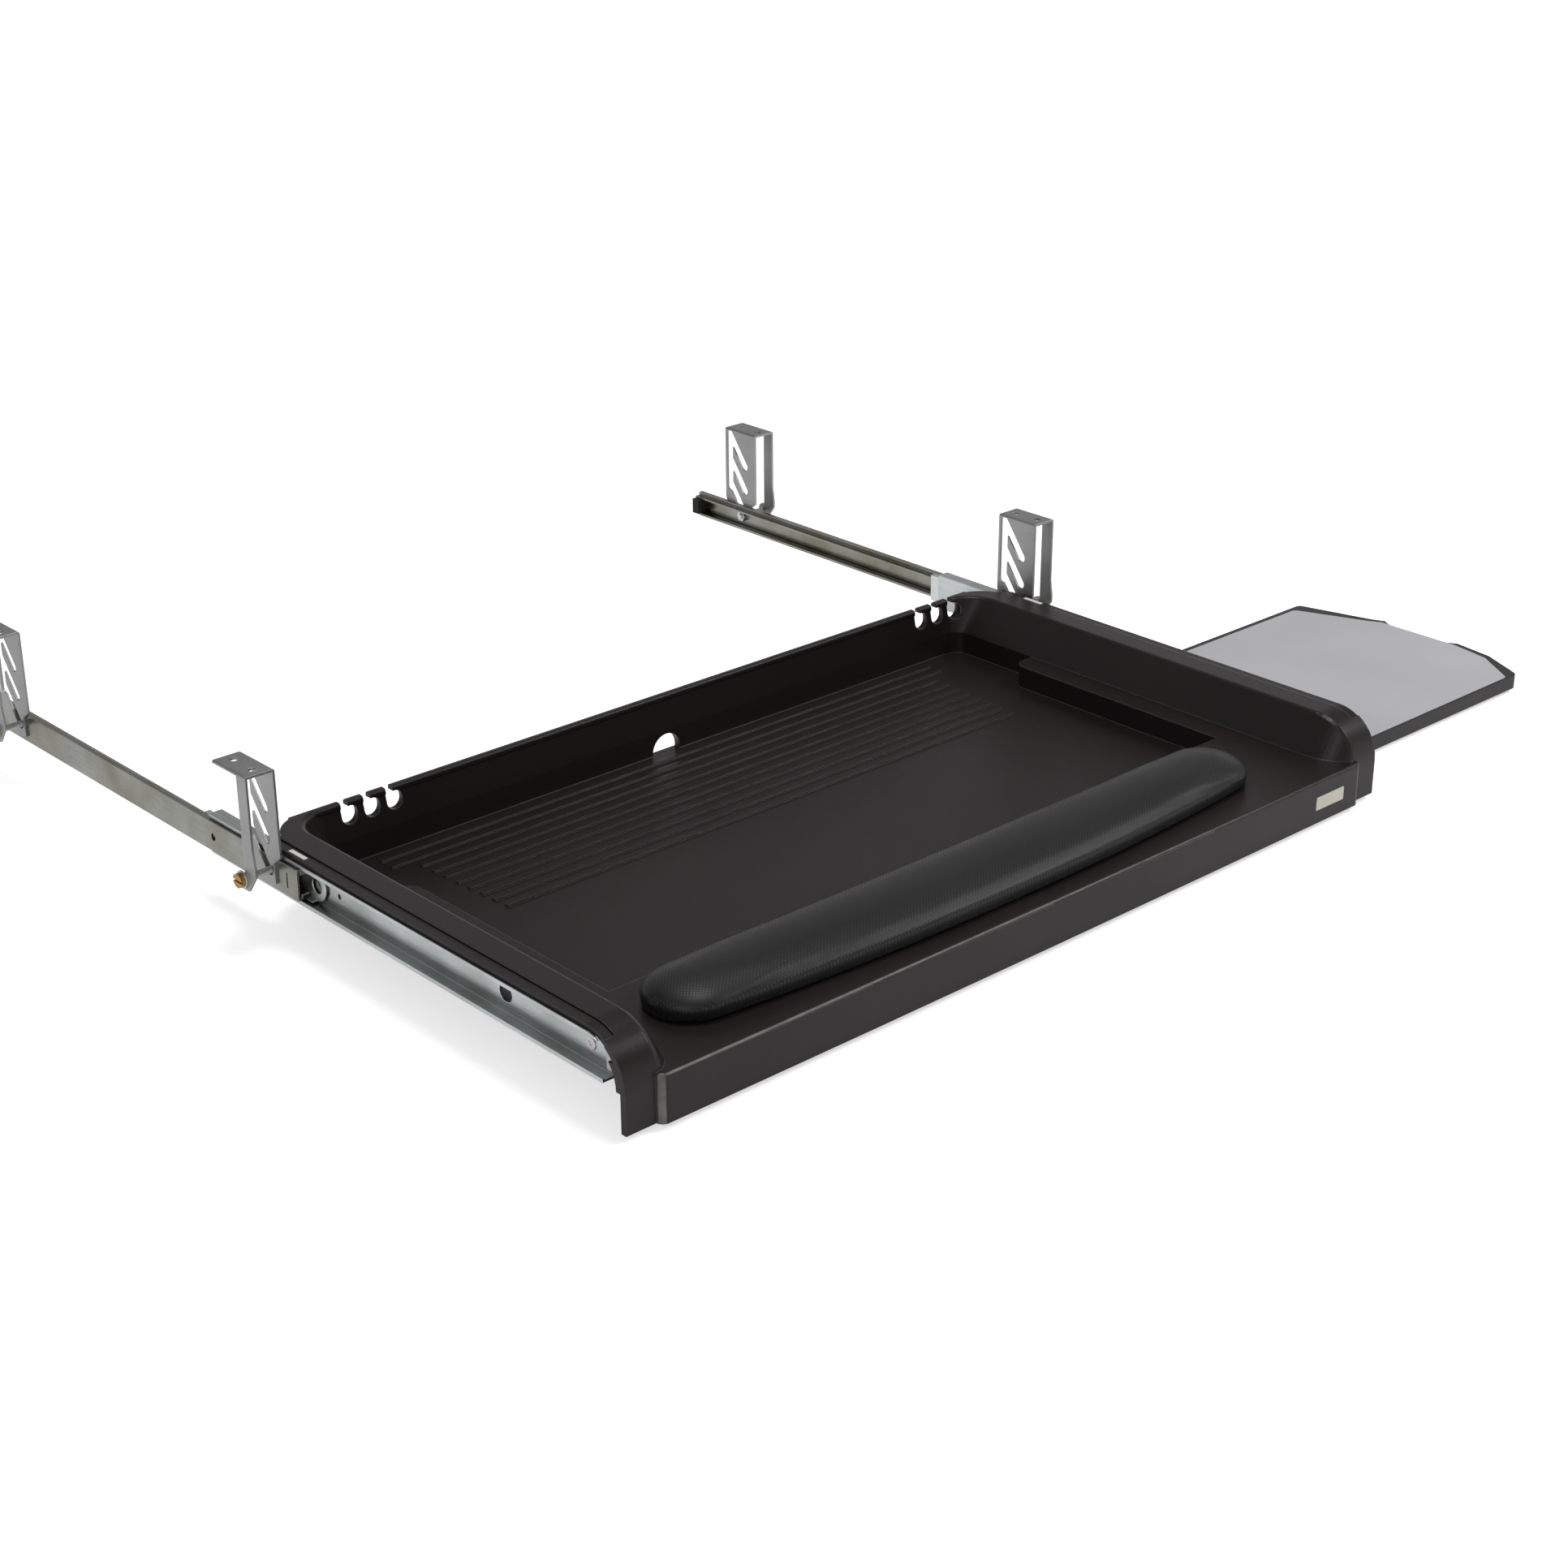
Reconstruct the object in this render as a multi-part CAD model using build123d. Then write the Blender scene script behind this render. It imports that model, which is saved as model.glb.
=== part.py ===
from build123d import *
import math
import os

# Under-desk keyboard drawer, in millimetres.
# The part frame has +X right, +Y back and +Z up. Its origin lies on the underside of
# the desk, in the middle of the screw pattern of the four brackets.
# Until they are saved, pieces are drawn in the tray's own frame: X from the middle of
# the tray, Y from the front of its horns, Z from its lowest edge, with the tray pulled
# out and the mouse platform pulled out to the right.

# Whole tray
tray_width = 565.0
tray_depth = 311.0
tray_height = 49.0
wall = 2.5
desk_height = 97.0
overrun = 5.0

# Rims along both sides
skirt_inset = 7.0
skirt_bottom = 24.0
rear_corner_radius = 25.0
nose_radius = 28.0
rim_inset = 21.5
rim_edge_radius = 2.6
lip_width = 5.5
lip_drop = 0.7
lip_thickness = 2.1
groove_width = 0.8
groove_depth = 0.8
lip_length = tray_depth - 15.0
lip_slot_length = 15.0
lip_slot_start = lip_length - lip_slot_length - 19.0
lip_slot_width = 3.0
nose_spans = 14
nose_span_power = 1.4
horn_width = 18.5
horn_thickness = 3.5
horn_step_thickness = 6.5
horn_step_height = 21.0
horn_step_length = 14.0

# Deck, shoulders and well
deck_top = 26.5
deck_inset = 35.0
cavity_rear_wall_top = 2.5
cavity_rear_wall_foot = 5.0
cavity_corner_radius = 10.0
well_front = 76.0
well_inset = 52.0
shoulder_end = tray_depth - 71.0
shoulder_radius = 9.0
floor_top = 12.5
rear_bead_width = 5.0
rear_bead_height = 4.6
rear_bead_proud = 1.2
rear_bead_inset = 24.0

# Ribs on the floor of the well
rib_pitch = 10.0
rib_count = 10
rib_width = 3.2
rib_height = 1.1
rib_row_front = tray_depth - 106.0
rib_inset = 88.0
rib_inset_step = 0.7
rib_long_count = 2
rib_long_inset = 70.0

# Fascia
fascia_inset = 18.0
fascia_reach = 4.0
fascia_bow = 1.0
fascia_end_radius = 4.5
fascia_return = 8.0
fascia_edge_radius = 1.8

# Label plate, bare
label_length = 25.0
label_height = 8.0
label_thickness = 1.2
label_pocket_depth = 0.6
label_from_end = 47.5
label_bottom = 8.5
label_corner_radius = 0.6

# Cable hooks and cable hole in the rear wall
hook_left_inset = 60.0
hook_right_inset = 37.5
hook_pitch = 14.7
hook_count = 3
hook_cavity_width = 10.4
hook_cavity_height = 11.0
hook_cavity_bottom = 35.0
hook_throat_width = 5.2
hook_throat_lean = 1.0
cable_hole_radius = 10.5
cable_hole_top = 24.5

# Wrist rest, which lies a little left of the tray's middle
rest_left_inset = 51.5
rest_right_inset = 81.5
rest_half_length = (tray_width - rest_left_inset - rest_right_inset) / 2
rest_middle = (rest_left_inset - rest_right_inset) / 2
rest_front_middle = 7.0
rest_front_end = 20.0
rest_rear = 65.0
rest_height = 16.5
rest_base_height = 1.2
rest_base_inset = 3.0
rest_end_depth = 22.0
rest_end_drop = 15.0
rest_side_bulge = 2.0
rest_crown_share = 0.58
rest_end_share = 0.12
rest_drop_share = 0.35
rest_bow_power = 2.4
rest_spans = 6

# Slides: the drawer member is screwed to the tray, the cabinet member to the brackets
slide_sheet = 1.2
slide_bottom = 22.8
drawer_section_height = 23.0
drawer_section_width = 8.4
drawer_lip = 2.2
drawer_front = 14.5
drawer_length = tray_depth + 25.5
drawer_hole_length = 10.0
drawer_hole_height = 8.8
drawer_hole_place = 82.0
run_gap = 0.3
lip_gap = 0.4
member_gap = 0.6
ball_radius = 1.5
ball_inset = 5.0
race_overhang = 0.1
tray_travel = 246.0
travel_gap = 0.2
cabinet_front = tray_depth - 48.0
cabinet_slot_place = 9.0
cabinet_slot_width = 1.6
cabinet_slot_height = 9.0
cabinet_hole_place = 82.0
cabinet_hole_radius = 2.2

# Ball cages
cage_sheet = 0.6
cage_web_gap = 1.0
cage_arm_reach = 3.6
cage_front_lead = 15.0
cage_length = 112.0
cage_hole_radius = 4.2
cage_hole_place = 8.0
ball_count = 6
ball_pitch = 14.0
ball_row_inset = 33.0
pocket_gap = 0.15

# Small pieces of the slides
tab_thickness = 1.8
tab_width = 3.5
tab_height = 15.0
clip_gap = 0.2
clip_height = 2.7
bumper_length = 6.0
bumper_gap = 0.2
bumper_overlap = 0.8
slide_screw_front = 16.7
slide_screw_rear = tray_depth - 50.5
slide_screw_places = (slide_screw_front, slide_screw_rear)
spare_hole_place = slide_screw_rear - 37.2
spare_hole_radius = 1.5
slide_screw_radius = 1.7
slide_screw_length = 7.0
slide_screw_head_radius = 3.6
slide_screw_head = 0.7
slide_screw_gap = 0.15
socket_radius = 1.1
socket_depth_share = 0.6

# Brackets, bent from one strip each
bracket_setback = cabinet_front + 28.0
bracket_end_room = 70.2
bracket_sheet = 1.5
bracket_bend = 1.4
strap_gap = 14.8
comb_front = 15.5
comb_rear = 16.0
comb_foot_front = 9.0
comb_foot_rear = 11.0
comb_shoulder = 46.0
comb_foot_bottom = 29.0
channel_place = 11.0
channel_width = 6.0
branch_count = 3
branch_pitch = 18.0
branch_rise = 21.0
strap_rear = 7.0
strap_width = 8.5
strap_foot_front = 17.0
strap_foot_height = 20.0
strap_foot_bottom = 30.5
strap_foot_radius = 5.0
desk_hole_radius = 2.5
desk_hole_offset = 9.0
web_front = comb_front
web_rear = comb_rear

# Bolts, nuts and washers of the brackets
bolt_radius = 2.0
bolt_height = 36.0
bolt_lead = 4.5
bolt_gap = 0.2
bolt_head_radius = 4.0
bolt_head = 2.6
bolt_tip = 1.2
nut_size = 7.0
nut_height = 3.2
washer_radius = 5.0
washer_height = 1.0

# Mouse platform and mat
platform_front = 38.0
platform_depth = 174.0
platform_top = 9.0
platform_height = 9.5
platform_travel = 222.0
platform_inner = tray_width / 2 - 50.0
platform_reach = tray_width / 2 + platform_travel
platform_corner = platform_reach - 18.0
platform_corner_radius = 4.0
platform_bow_front_share = 0.172
platform_bow_rear_share = 0.287
platform_notch = 4.0
platform_notch_front_share = 0.368
platform_notch_rear_share = 0.621
platform_notch_slope = 7.0
platform_wall = 2.5
platform_deck = 2.6
platform_rib_count = 5
platform_edge_radius = 0.8
mat_thickness = 1.2
mat_edge = 4.0
mat_front_edge = 1.0
mat_inner_edge = 3.0
mat_corner_edge = 6.0
mat_corner_radius = 5.0
mat_gap = 0.1
ear_length = 10.0
ear_reach = 1.2
ear_height = 5.0

# Rails of the platform
rail_gap = 0.3
rail_sheet = 2.0
rail_lip = 7.0
rail_flange = 12.0
rail_left = platform_inner - platform_travel - 3.0
rail_right = tray_width / 2 - 9.0
rail_ear_gap = 0.5
stop_length = 6.0
stop_gap = 0.3
rail_screw_count = 4
rail_screw_inset = 20.0
rail_screw_radius = 1.5
rail_screw_head_radius = 2.8
rail_screw_head = 1.6
rail_screw_grip = 2.0
rail_screw_gap = 0.15

half_width = tray_width / 2
slide_middle = slide_bottom + drawer_section_height / 2
drawer_rear = drawer_front + drawer_length
cabinet_rear = drawer_rear + tray_travel + travel_gap + bumper_length
cabinet_length = cabinet_rear - cabinet_front
bracket_spacing = cabinet_length - bracket_end_room


def block(x0, x1, y0, y1, z0, z1):
    """A block between two corners."""
    middle = Pos((x0 + x1) / 2, (y0 + y1) / 2, (z0 + z1) / 2)
    return middle * Box(abs(x1 - x0), abs(y1 - y0), abs(z1 - z0))


def rod_x(x0, x1, y, z, radius):
    """A round bar along X."""
    return Pos((x0 + x1) / 2, y, z) * Rot(0, 90, 0) * Cylinder(radius, abs(x1 - x0))


def rod_y(x, y0, y1, z, radius):
    """A round bar along Y."""
    return Pos(x, (y0 + y1) / 2, z) * Rot(90, 0, 0) * Cylinder(radius, abs(y1 - y0))


def rod_z(x, y, z0, z1, radius):
    """A round bar along Z."""
    return Pos(x, y, (z0 + z1) / 2) * Cylinder(radius, abs(z1 - z0))


def prism(points, length, along):
    """A closed outline of straight edges, drawn out along a direction."""
    return extrude(make_face(Polyline(*points, close=True)), amount=length, dir=along)


def both_sides(left):
    """The left piece and its mirror image on the right."""
    return left, mirror(left, about=Plane.YZ)


def group(pieces):
    """Separate solids that share one node."""
    solids = [solid for piece in pieces for solid in piece.solids()]
    return Compound(children=solids)


def arc_through(corner, radius, to_start, to_end):
    """A quarter arc that rounds a square corner, given the two ways out of the corner."""
    start = corner + to_start * radius
    end = corner + to_end * radius
    middle = corner + (to_start + to_end) * (radius * (1 - math.sqrt(0.5)))
    return ThreePointArc(start, middle, end)


def rounded_plan(half, front, rear, radius, z):
    """A flat outline at one height, with both rear corners rounded."""
    left, right = Vector(-half, rear, z), Vector(half, rear, z)
    west, east, south = Vector(-1, 0, 0), Vector(1, 0, 0), Vector(0, -1, 0)
    outline = [
        Line((-half, front, z), (half, front, z)),
        Line((half, front, z), right + south * radius),
        arc_through(right, radius, south, west),
        Line(right + west * radius, left + east * radius),
        arc_through(left, radius, east, south),
        Line(left + south * radius, (-half, front, z)),
    ]
    return make_face(outline)


def side_region(x0, x1, inset, bottom):
    """The tray's side view with its rounded nose, drawn from x0 to x1."""
    nose = Vector(x0, inset, tray_height - inset)
    radius = nose_radius - inset
    back, up, down = Vector(0, 1, 0), Vector(0, 0, 1), Vector(0, 0, -1)
    rear = tray_depth + overrun
    outline = [
        Line((x0, inset, bottom), nose + down * radius),
        arc_through(nose, radius, down, back),
        Line(nose + back * radius, (x0, rear, tray_height - inset)),
        Line((x0, rear, tray_height - inset), (x0, rear, bottom)),
        Line((x0, rear, bottom), (x0, inset, bottom)),
    ]
    return extrude(make_face(outline), amount=x1 - x0, dir=(1, 0, 0))


def rim_strip(x0, x1, outer, inner, bottom):
    """The part of the rim and horn that lies between two depths under the outline."""
    strip = side_region(x0, x1, outer, -overrun) - side_region(x0, x1, inner, -overrun * 2)
    return strip & block(x0, x1, -overrun, tray_depth, bottom, tray_height)


def cavity(extra):
    """The room above the deck between the sloping side walls, grown by a wall."""
    run = deck_inset - rim_inset
    rise = tray_height - deck_top
    slant = extra * math.hypot(run, rise) / rise
    lean = (cavity_rear_wall_foot - cavity_rear_wall_top) / rise
    low = deck_top - extra
    high = tray_height + overrun
    sections = []
    for z in (low, high):
        half = half_width - deck_inset + (z - deck_top) * run / rise + slant
        rear = tray_depth - cavity_rear_wall_foot + (z - deck_top) * lean + extra
        radius = cavity_corner_radius + (z - deck_top) * run / rise + extra
        sections.append(rounded_plan(half, -overrun * 2, rear, radius, z))
    return loft(sections, ruled=True)


def nose_scoop(extra):
    """Room by the left nose, where the side wall gets lower until it meets the deck."""
    slope = (tray_height - deck_top) / (deck_inset - rim_inset)
    turn = math.atan(slope)
    edge_reach = rim_edge_radius * math.tan(turn / 2)
    level = tray_height - nose_radius
    start_angle = math.asin((deck_top - level) / nose_radius)
    front = -overrun * 2
    low = deck_top - extra
    high = tray_height + overrun
    root = low - overrun
    inside = deck_inset + overrun * 2
    sections = []
    for index in range(nose_spans + 1):
        share = (index / nose_spans) ** nose_span_power
        angle = start_angle + (math.pi / 2 - start_angle) * share
        climb = 1 / math.tan(angle)
        stretch = math.sqrt(slope**2 + climb**2 + 1)
        y = nose_radius * (1 - math.cos(angle)) + extra * climb / stretch
        rim_z = level + nose_radius * math.sin(angle) - extra / stretch
        rim = rim_inset - extra * slope / stretch
        beyond = rim - edge_reach - wall
        corners = [
            (rim + (rim_z - root) / slope, root),
            (rim + edge_reach * math.cos(turn), rim_z - edge_reach * math.sin(turn)),
            (beyond, rim_z + wall * math.tan(turn / 2)),
            (beyond, high),
            (inside, high),
            (inside, root),
        ]
        for place in (front, y) if index == 0 else (y,):
            outline = [(inset - half_width, place, z) for inset, z in corners]
            sections.append(make_face(Polyline(*outline, close=True)))
    above_deck = block(-half_width, inside - half_width, front, tray_depth, low, high)
    return loft(sections, ruled=True) & above_deck


def well_plan(extra, z):
    """The well's outline: narrow between the shoulders, wide behind them."""
    narrow = half_width - well_inset + extra
    wide = half_width - deck_inset + extra
    front = well_front - extra
    step = shoulder_end - extra
    rear = tray_depth - cavity_rear_wall_foot + extra
    radius = cavity_corner_radius + extra
    round_end = shoulder_radius - extra
    west, east = Vector(-1, 0, 0), Vector(1, 0, 0)
    south = Vector(0, -1, 0)
    edges = [Line((-narrow, front, z), (narrow, front, z))]
    right, left = Vector(wide, rear, z), Vector(-wide, rear, z)
    right_end, left_end = Vector(narrow, step, z), Vector(-narrow, step, z)
    edges += [
        Line((narrow, front, z), right_end + south * round_end),
        arc_through(right_end, round_end, south, east),
        Line(right_end + east * round_end, (wide, step, z)),
        Line((wide, step, z), right + south * radius),
        arc_through(right, radius, south, west),
        Line(right + west * radius, left + east * radius),
        arc_through(left, radius, east, south),
        Line(left + south * radius, (-wide, step, z)),
        Line((-wide, step, z), left_end + west * round_end),
        arc_through(left_end, round_end, west, south),
        Line(left_end + south * round_end, (-narrow, front, z)),
    ]
    return make_face(edges)


def fascia_plan(inset, back, z):
    """The fascia's outline from above: bowed front, round ends and short returns."""
    half = half_width - fascia_inset - inset
    front = -fascia_reach + inset
    radius = fascia_end_radius - inset
    left, right = Vector(-half, front, z), Vector(half, front, z)
    west, east, north = Vector(-1, 0, 0), Vector(1, 0, 0), Vector(0, 1, 0)
    outline = [
        ThreePointArc(left + east * radius, (0, front - fascia_bow, z), right + west * radius),
        arc_through(right, radius, west, north),
        Line(right + north * radius, (half, back, z)),
        Line((half, back, z), (-half, back, z)),
        Line((-half, back, z), left + north * radius),
        arc_through(left, radius, north, east),
    ]
    return make_face(outline)


def hook_cut(place, front, rear):
    """One open cable hook through the rear wall: a round pocket with a leaning throat."""
    radius = hook_cavity_width / 2
    low = hook_cavity_bottom + radius
    high = hook_cavity_bottom + hook_cavity_height - radius
    top = tray_height + overrun
    left = place - radius
    points = [
        (left, front, low),
        (left - hook_throat_lean, front, top),
        (left - hook_throat_lean + hook_throat_width, front, top),
        (left - hook_throat_lean + hook_throat_width, front, low),
    ]
    pocket = rod_y(place, front, rear, low, radius) + rod_y(place, front, rear, high, radius)
    return pocket + prism(points, rear - front, (0, 1, 0))


def make_tray_shell():
    """The moulded tray: rims, horns, fascia, deck, well, hooks and cable hole."""
    inner_half = half_width - skirt_inset
    hollow_half = inner_half - wall
    outer_plan = rounded_plan(inner_half, -overrun, tray_depth, rear_corner_radius, skirt_bottom)
    shell = extrude(outer_plan, amount=tray_height - skirt_bottom, dir=(0, 0, 1))
    shell &= side_region(-half_width, half_width, 0, 0)

    hollow_plan = rounded_plan(
        hollow_half, -overrun, tray_depth - wall, rear_corner_radius - wall, skirt_bottom - overrun
    )
    hollow_height = tray_height - wall - skirt_bottom + overrun
    hollow = extrude(hollow_plan, amount=hollow_height, dir=(0, 0, 1))
    hollow &= side_region(-half_width, half_width, wall, 0)
    hollow -= cavity(wall)
    for scoop in both_sides(nose_scoop(wall)):
        hollow -= scoop
    shell = shell - cavity(0) - hollow
    rim_half = half_width - rim_inset + rim_edge_radius
    rim_edges = shell.edges().filter_by(
        lambda edge: edge.bounding_box().min.Z > tray_height - wall / 4
        and abs(edge.center().X) < rim_half
        and edge.center().Y < tray_depth - cavity_rear_wall_top / 2
    )
    shell = fillet(rim_edges, rim_edge_radius)
    for scoop in both_sides(nose_scoop(0)):
        shell -= scoop

    # Well box under the deck
    floor_bottom = floor_top - wall
    box_height = deck_top - wall - floor_bottom
    well_box = extrude(well_plan(wall, floor_bottom), amount=box_height, dir=(0, 0, 1))
    back_plan = rounded_plan(
        half_width - deck_inset + wall,
        shoulder_end,
        tray_depth,
        cavity_corner_radius + wall,
        floor_bottom,
    )
    well_box += extrude(back_plan, amount=box_height, dir=(0, 0, 1))
    room_height = deck_top - floor_top + overrun
    well_room = extrude(well_plan(0, floor_top), amount=room_height, dir=(0, 0, 1))
    shell = shell + well_box - well_room

    # Fascia in front of the deck
    fascia = extrude(fascia_plan(0, fascia_return, 0), amount=deck_top, dir=(0, 0, 1))
    top_edges = fascia.edges().filter_by(lambda edge: edge.bounding_box().min.Z > deck_top / 2)
    front_edges = top_edges.filter_by(lambda edge: edge.center().Y < fascia_return - wall)
    fascia = fillet(front_edges, fascia_edge_radius)
    fascia_room = extrude(
        fascia_plan(wall, fascia_return + overrun, -overrun),
        amount=deck_top - wall + overrun,
        dir=(0, 0, 1),
    )
    fascia -= fascia_room
    pocket_x = half_width - label_from_end
    pocket = block(
        pocket_x - label_length / 2 - run_gap / 2,
        pocket_x + label_length / 2 + run_gap / 2,
        -fascia_reach - fascia_bow - overrun,
        -fascia_reach + label_pocket_depth,
        label_bottom - run_gap / 2,
        label_bottom + label_height + run_gap / 2,
    )
    shell = shell + fascia - pocket

    # Lip, groove, band edge and horn on each side, drawn on the left
    outer = -half_width
    groove_start = outer + lip_width
    groove_end = groove_start + groove_width
    skirt = outer + skirt_inset
    lip = rim_strip(outer, groove_start, lip_drop, lip_drop + lip_thickness, horn_step_height)
    groove_depth_down = lip_drop + groove_depth
    lip += rim_strip(
        groove_start, groove_end, groove_depth_down, lip_drop + lip_thickness, horn_step_height
    )
    lip += rim_strip(groove_end, skirt + wall / 2, 0, lip_drop + lip_thickness, horn_step_height)
    lip_plan = rounded_plan(half_width, -overrun, lip_length, skirt_inset, horn_step_height - overrun)
    lip &= extrude(lip_plan, amount=tray_height, dir=(0, 0, 1))
    slot_middle = outer + lip_width / 2
    slot = block(
        slot_middle - lip_slot_width / 2,
        slot_middle + lip_slot_width / 2,
        lip_slot_start,
        lip_slot_start + lip_slot_length,
        deck_top,
        tray_height + overrun,
    )
    lip -= slot
    horn_right = outer + horn_width
    front_only = block(
        outer - overrun, horn_right + overrun, -overrun, nose_radius / 2, -overrun, tray_height
    )
    horn = rim_strip(outer, horn_right, 0, horn_thickness, 0)
    thick = rim_strip(outer, horn_right, horn_thickness / 2, horn_step_thickness, horn_step_height)
    step_top = horn_step_height + horn_step_length
    horn += thick & block(outer, horn_right, 0, tray_depth, 0, step_top)
    horn &= front_only
    for piece in both_sides(lip + horn):
        shell += piece

    # Rounded bead along the top of the rear wall
    bead_half = half_width - rear_bead_inset
    bead = block(
        -bead_half,
        bead_half,
        tray_depth - rear_bead_width + rear_bead_proud,
        tray_depth + rear_bead_proud,
        tray_height - rear_bead_height,
        tray_height,
    )
    bead = fillet(bead.edges().filter_by(Axis.X), rear_bead_width / 3)
    shell += bead

    # Cable hooks on both sides, and the half-round cable hole at the middle
    for index in range(hook_count):
        left_place = -half_width + hook_left_inset + index * hook_pitch
        right_place = half_width - hook_right_inset - index * hook_pitch
        for place in (left_place, right_place):
            shell -= hook_cut(place, tray_depth - wall * 4, tray_depth + overrun)
    hole_z = cable_hole_top - cable_hole_radius
    hole = rod_y(0, tray_depth - wall * 4, tray_depth + overrun, hole_z, cable_hole_radius)
    shell -= hole & block(-half_width, half_width, 0, tray_depth * 2, floor_top, tray_height)

    # Ribs across the floor
    for index in range(rib_count):
        y = rib_row_front + index * rib_pitch
        inset = rib_inset - index * rib_inset_step
        if index >= rib_count - rib_long_count:
            inset = rib_long_inset
        rib_half = half_width - inset
        rib = block(-rib_half, rib_half, y, y + rib_width, floor_top - wall / 2, floor_top + rib_height)
        shell += rib

    # Holes for the screws of the slides
    for place in slide_screw_places:
        y = drawer_front + place
        radius = slide_screw_radius + slide_screw_gap
        for side in (-1, 1):
            start = side * (half_width - skirt_inset + overrun)
            end = side * (half_width - skirt_inset - wall - overrun)
            shell -= rod_x(start, end, y, slide_middle, radius)
    return shell


def section(points, y0, y1):
    """A sheet section given as insets from the tray's left edge and heights."""
    outline = [(inset - half_width, y0, z) for inset, z in points]
    return prism(outline, y1 - y0, (0, 1, 0))


drawer_web = skirt_inset
drawer_web_inner = drawer_web - slide_sheet
drawer_lip_edge = drawer_web - drawer_section_width
slide_top = slide_bottom + drawer_section_height
ball_place = drawer_web - ball_inset
ball_low = slide_bottom + slide_sheet + run_gap + ball_radius
ball_high = slide_top - (ball_low - slide_bottom)
cabinet_web = drawer_lip_edge - member_gap - slide_sheet
cabinet_low = slide_bottom + drawer_lip + lip_gap
cabinet_high = slide_top - drawer_lip - lip_gap
race_start = ball_place - ball_radius - run_gap
race_end = ball_place + ball_radius + race_overhang
race_low = ball_low + ball_radius + run_gap
race_high = ball_high - ball_radius - run_gap


def make_drawer_member():
    """C section with turned-in lips, open outwards, screwed to the skirt."""
    lip_inner = drawer_lip_edge + slide_sheet
    points = [
        (drawer_web, slide_bottom),
        (drawer_web, slide_top),
        (drawer_lip_edge, slide_top),
        (drawer_lip_edge, slide_top - drawer_lip),
        (lip_inner, slide_top - drawer_lip),
        (lip_inner, slide_top - slide_sheet),
        (drawer_web_inner, slide_top - slide_sheet),
        (drawer_web_inner, slide_bottom + slide_sheet),
        (lip_inner, slide_bottom + slide_sheet),
        (lip_inner, slide_bottom + drawer_lip),
        (drawer_lip_edge, slide_bottom + drawer_lip),
        (drawer_lip_edge, slide_bottom),
    ]
    member = section(points, drawer_front, drawer_front + drawer_length)
    outer = drawer_web_inner - half_width - slide_sheet
    inner = drawer_web - half_width + slide_sheet
    for place in slide_screw_places:
        hole_radius = slide_screw_radius + slide_screw_gap
        member -= rod_x(outer, inner, drawer_front + place, slide_middle, hole_radius)
    spare_y = drawer_front + spare_hole_place
    member -= rod_x(outer, inner, spare_y, slide_middle, spare_hole_radius)
    half_slot = (drawer_hole_length - drawer_hole_height) / 2
    middle = drawer_front + drawer_hole_place
    for y in (middle - half_slot, middle + half_slot):
        member -= rod_x(outer, inner, y, slide_middle, drawer_hole_height / 2)
    under_nose = side_region(outer - overrun * 2, inner, lip_drop + lip_thickness + run_gap, 0)
    return member & (under_nose + block(
        outer - overrun * 2, inner, tray_depth, tray_depth * 2, 0, tray_height
    ))


def make_cabinet_member():
    """Channel whose flanges step in to make the inner ball races."""
    step = slide_sheet
    points = [
        (cabinet_web, cabinet_low),
        (cabinet_web, cabinet_high),
        (race_start, cabinet_high),
        (race_start, race_high),
        (race_end, race_high),
        (race_end, race_high - step),
        (race_start - step, race_high - step),
        (race_start - step, cabinet_high - step),
        (cabinet_web + step, cabinet_high - step),
        (cabinet_web + step, cabinet_low + step),
        (race_start - step, cabinet_low + step),
        (race_start - step, race_low + step),
        (race_end, race_low + step),
        (race_end, race_low),
        (race_start, race_low),
        (race_start, cabinet_low),
    ]
    member = section(points, cabinet_front, cabinet_rear)
    outer = cabinet_web - half_width - step
    inner = cabinet_web - half_width + step * 2
    for y in bolt_places:
        member -= rod_x(outer, inner, y, bolt_height, bolt_radius + bolt_gap)
    slot_y = cabinet_front + cabinet_slot_place
    member -= block(
        outer,
        inner,
        slot_y,
        slot_y + cabinet_slot_width,
        slide_middle - cabinet_slot_height / 2,
        slide_middle + cabinet_slot_height / 2,
    )
    hole_y = cabinet_front + cabinet_hole_place
    member -= rod_x(outer, inner, hole_y, slide_middle, cabinet_hole_radius)
    return member


front_bracket_y = bracket_setback
rear_bracket_y = bracket_setback + bracket_spacing
bolt_places = (front_bracket_y - bolt_lead, rear_bracket_y - bolt_lead)
cage_front = cabinet_front - cage_front_lead
cage_web = drawer_web_inner - cage_web_gap
ball_ys = [cage_front + ball_row_inset + index * ball_pitch for index in range(ball_count)]


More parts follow.
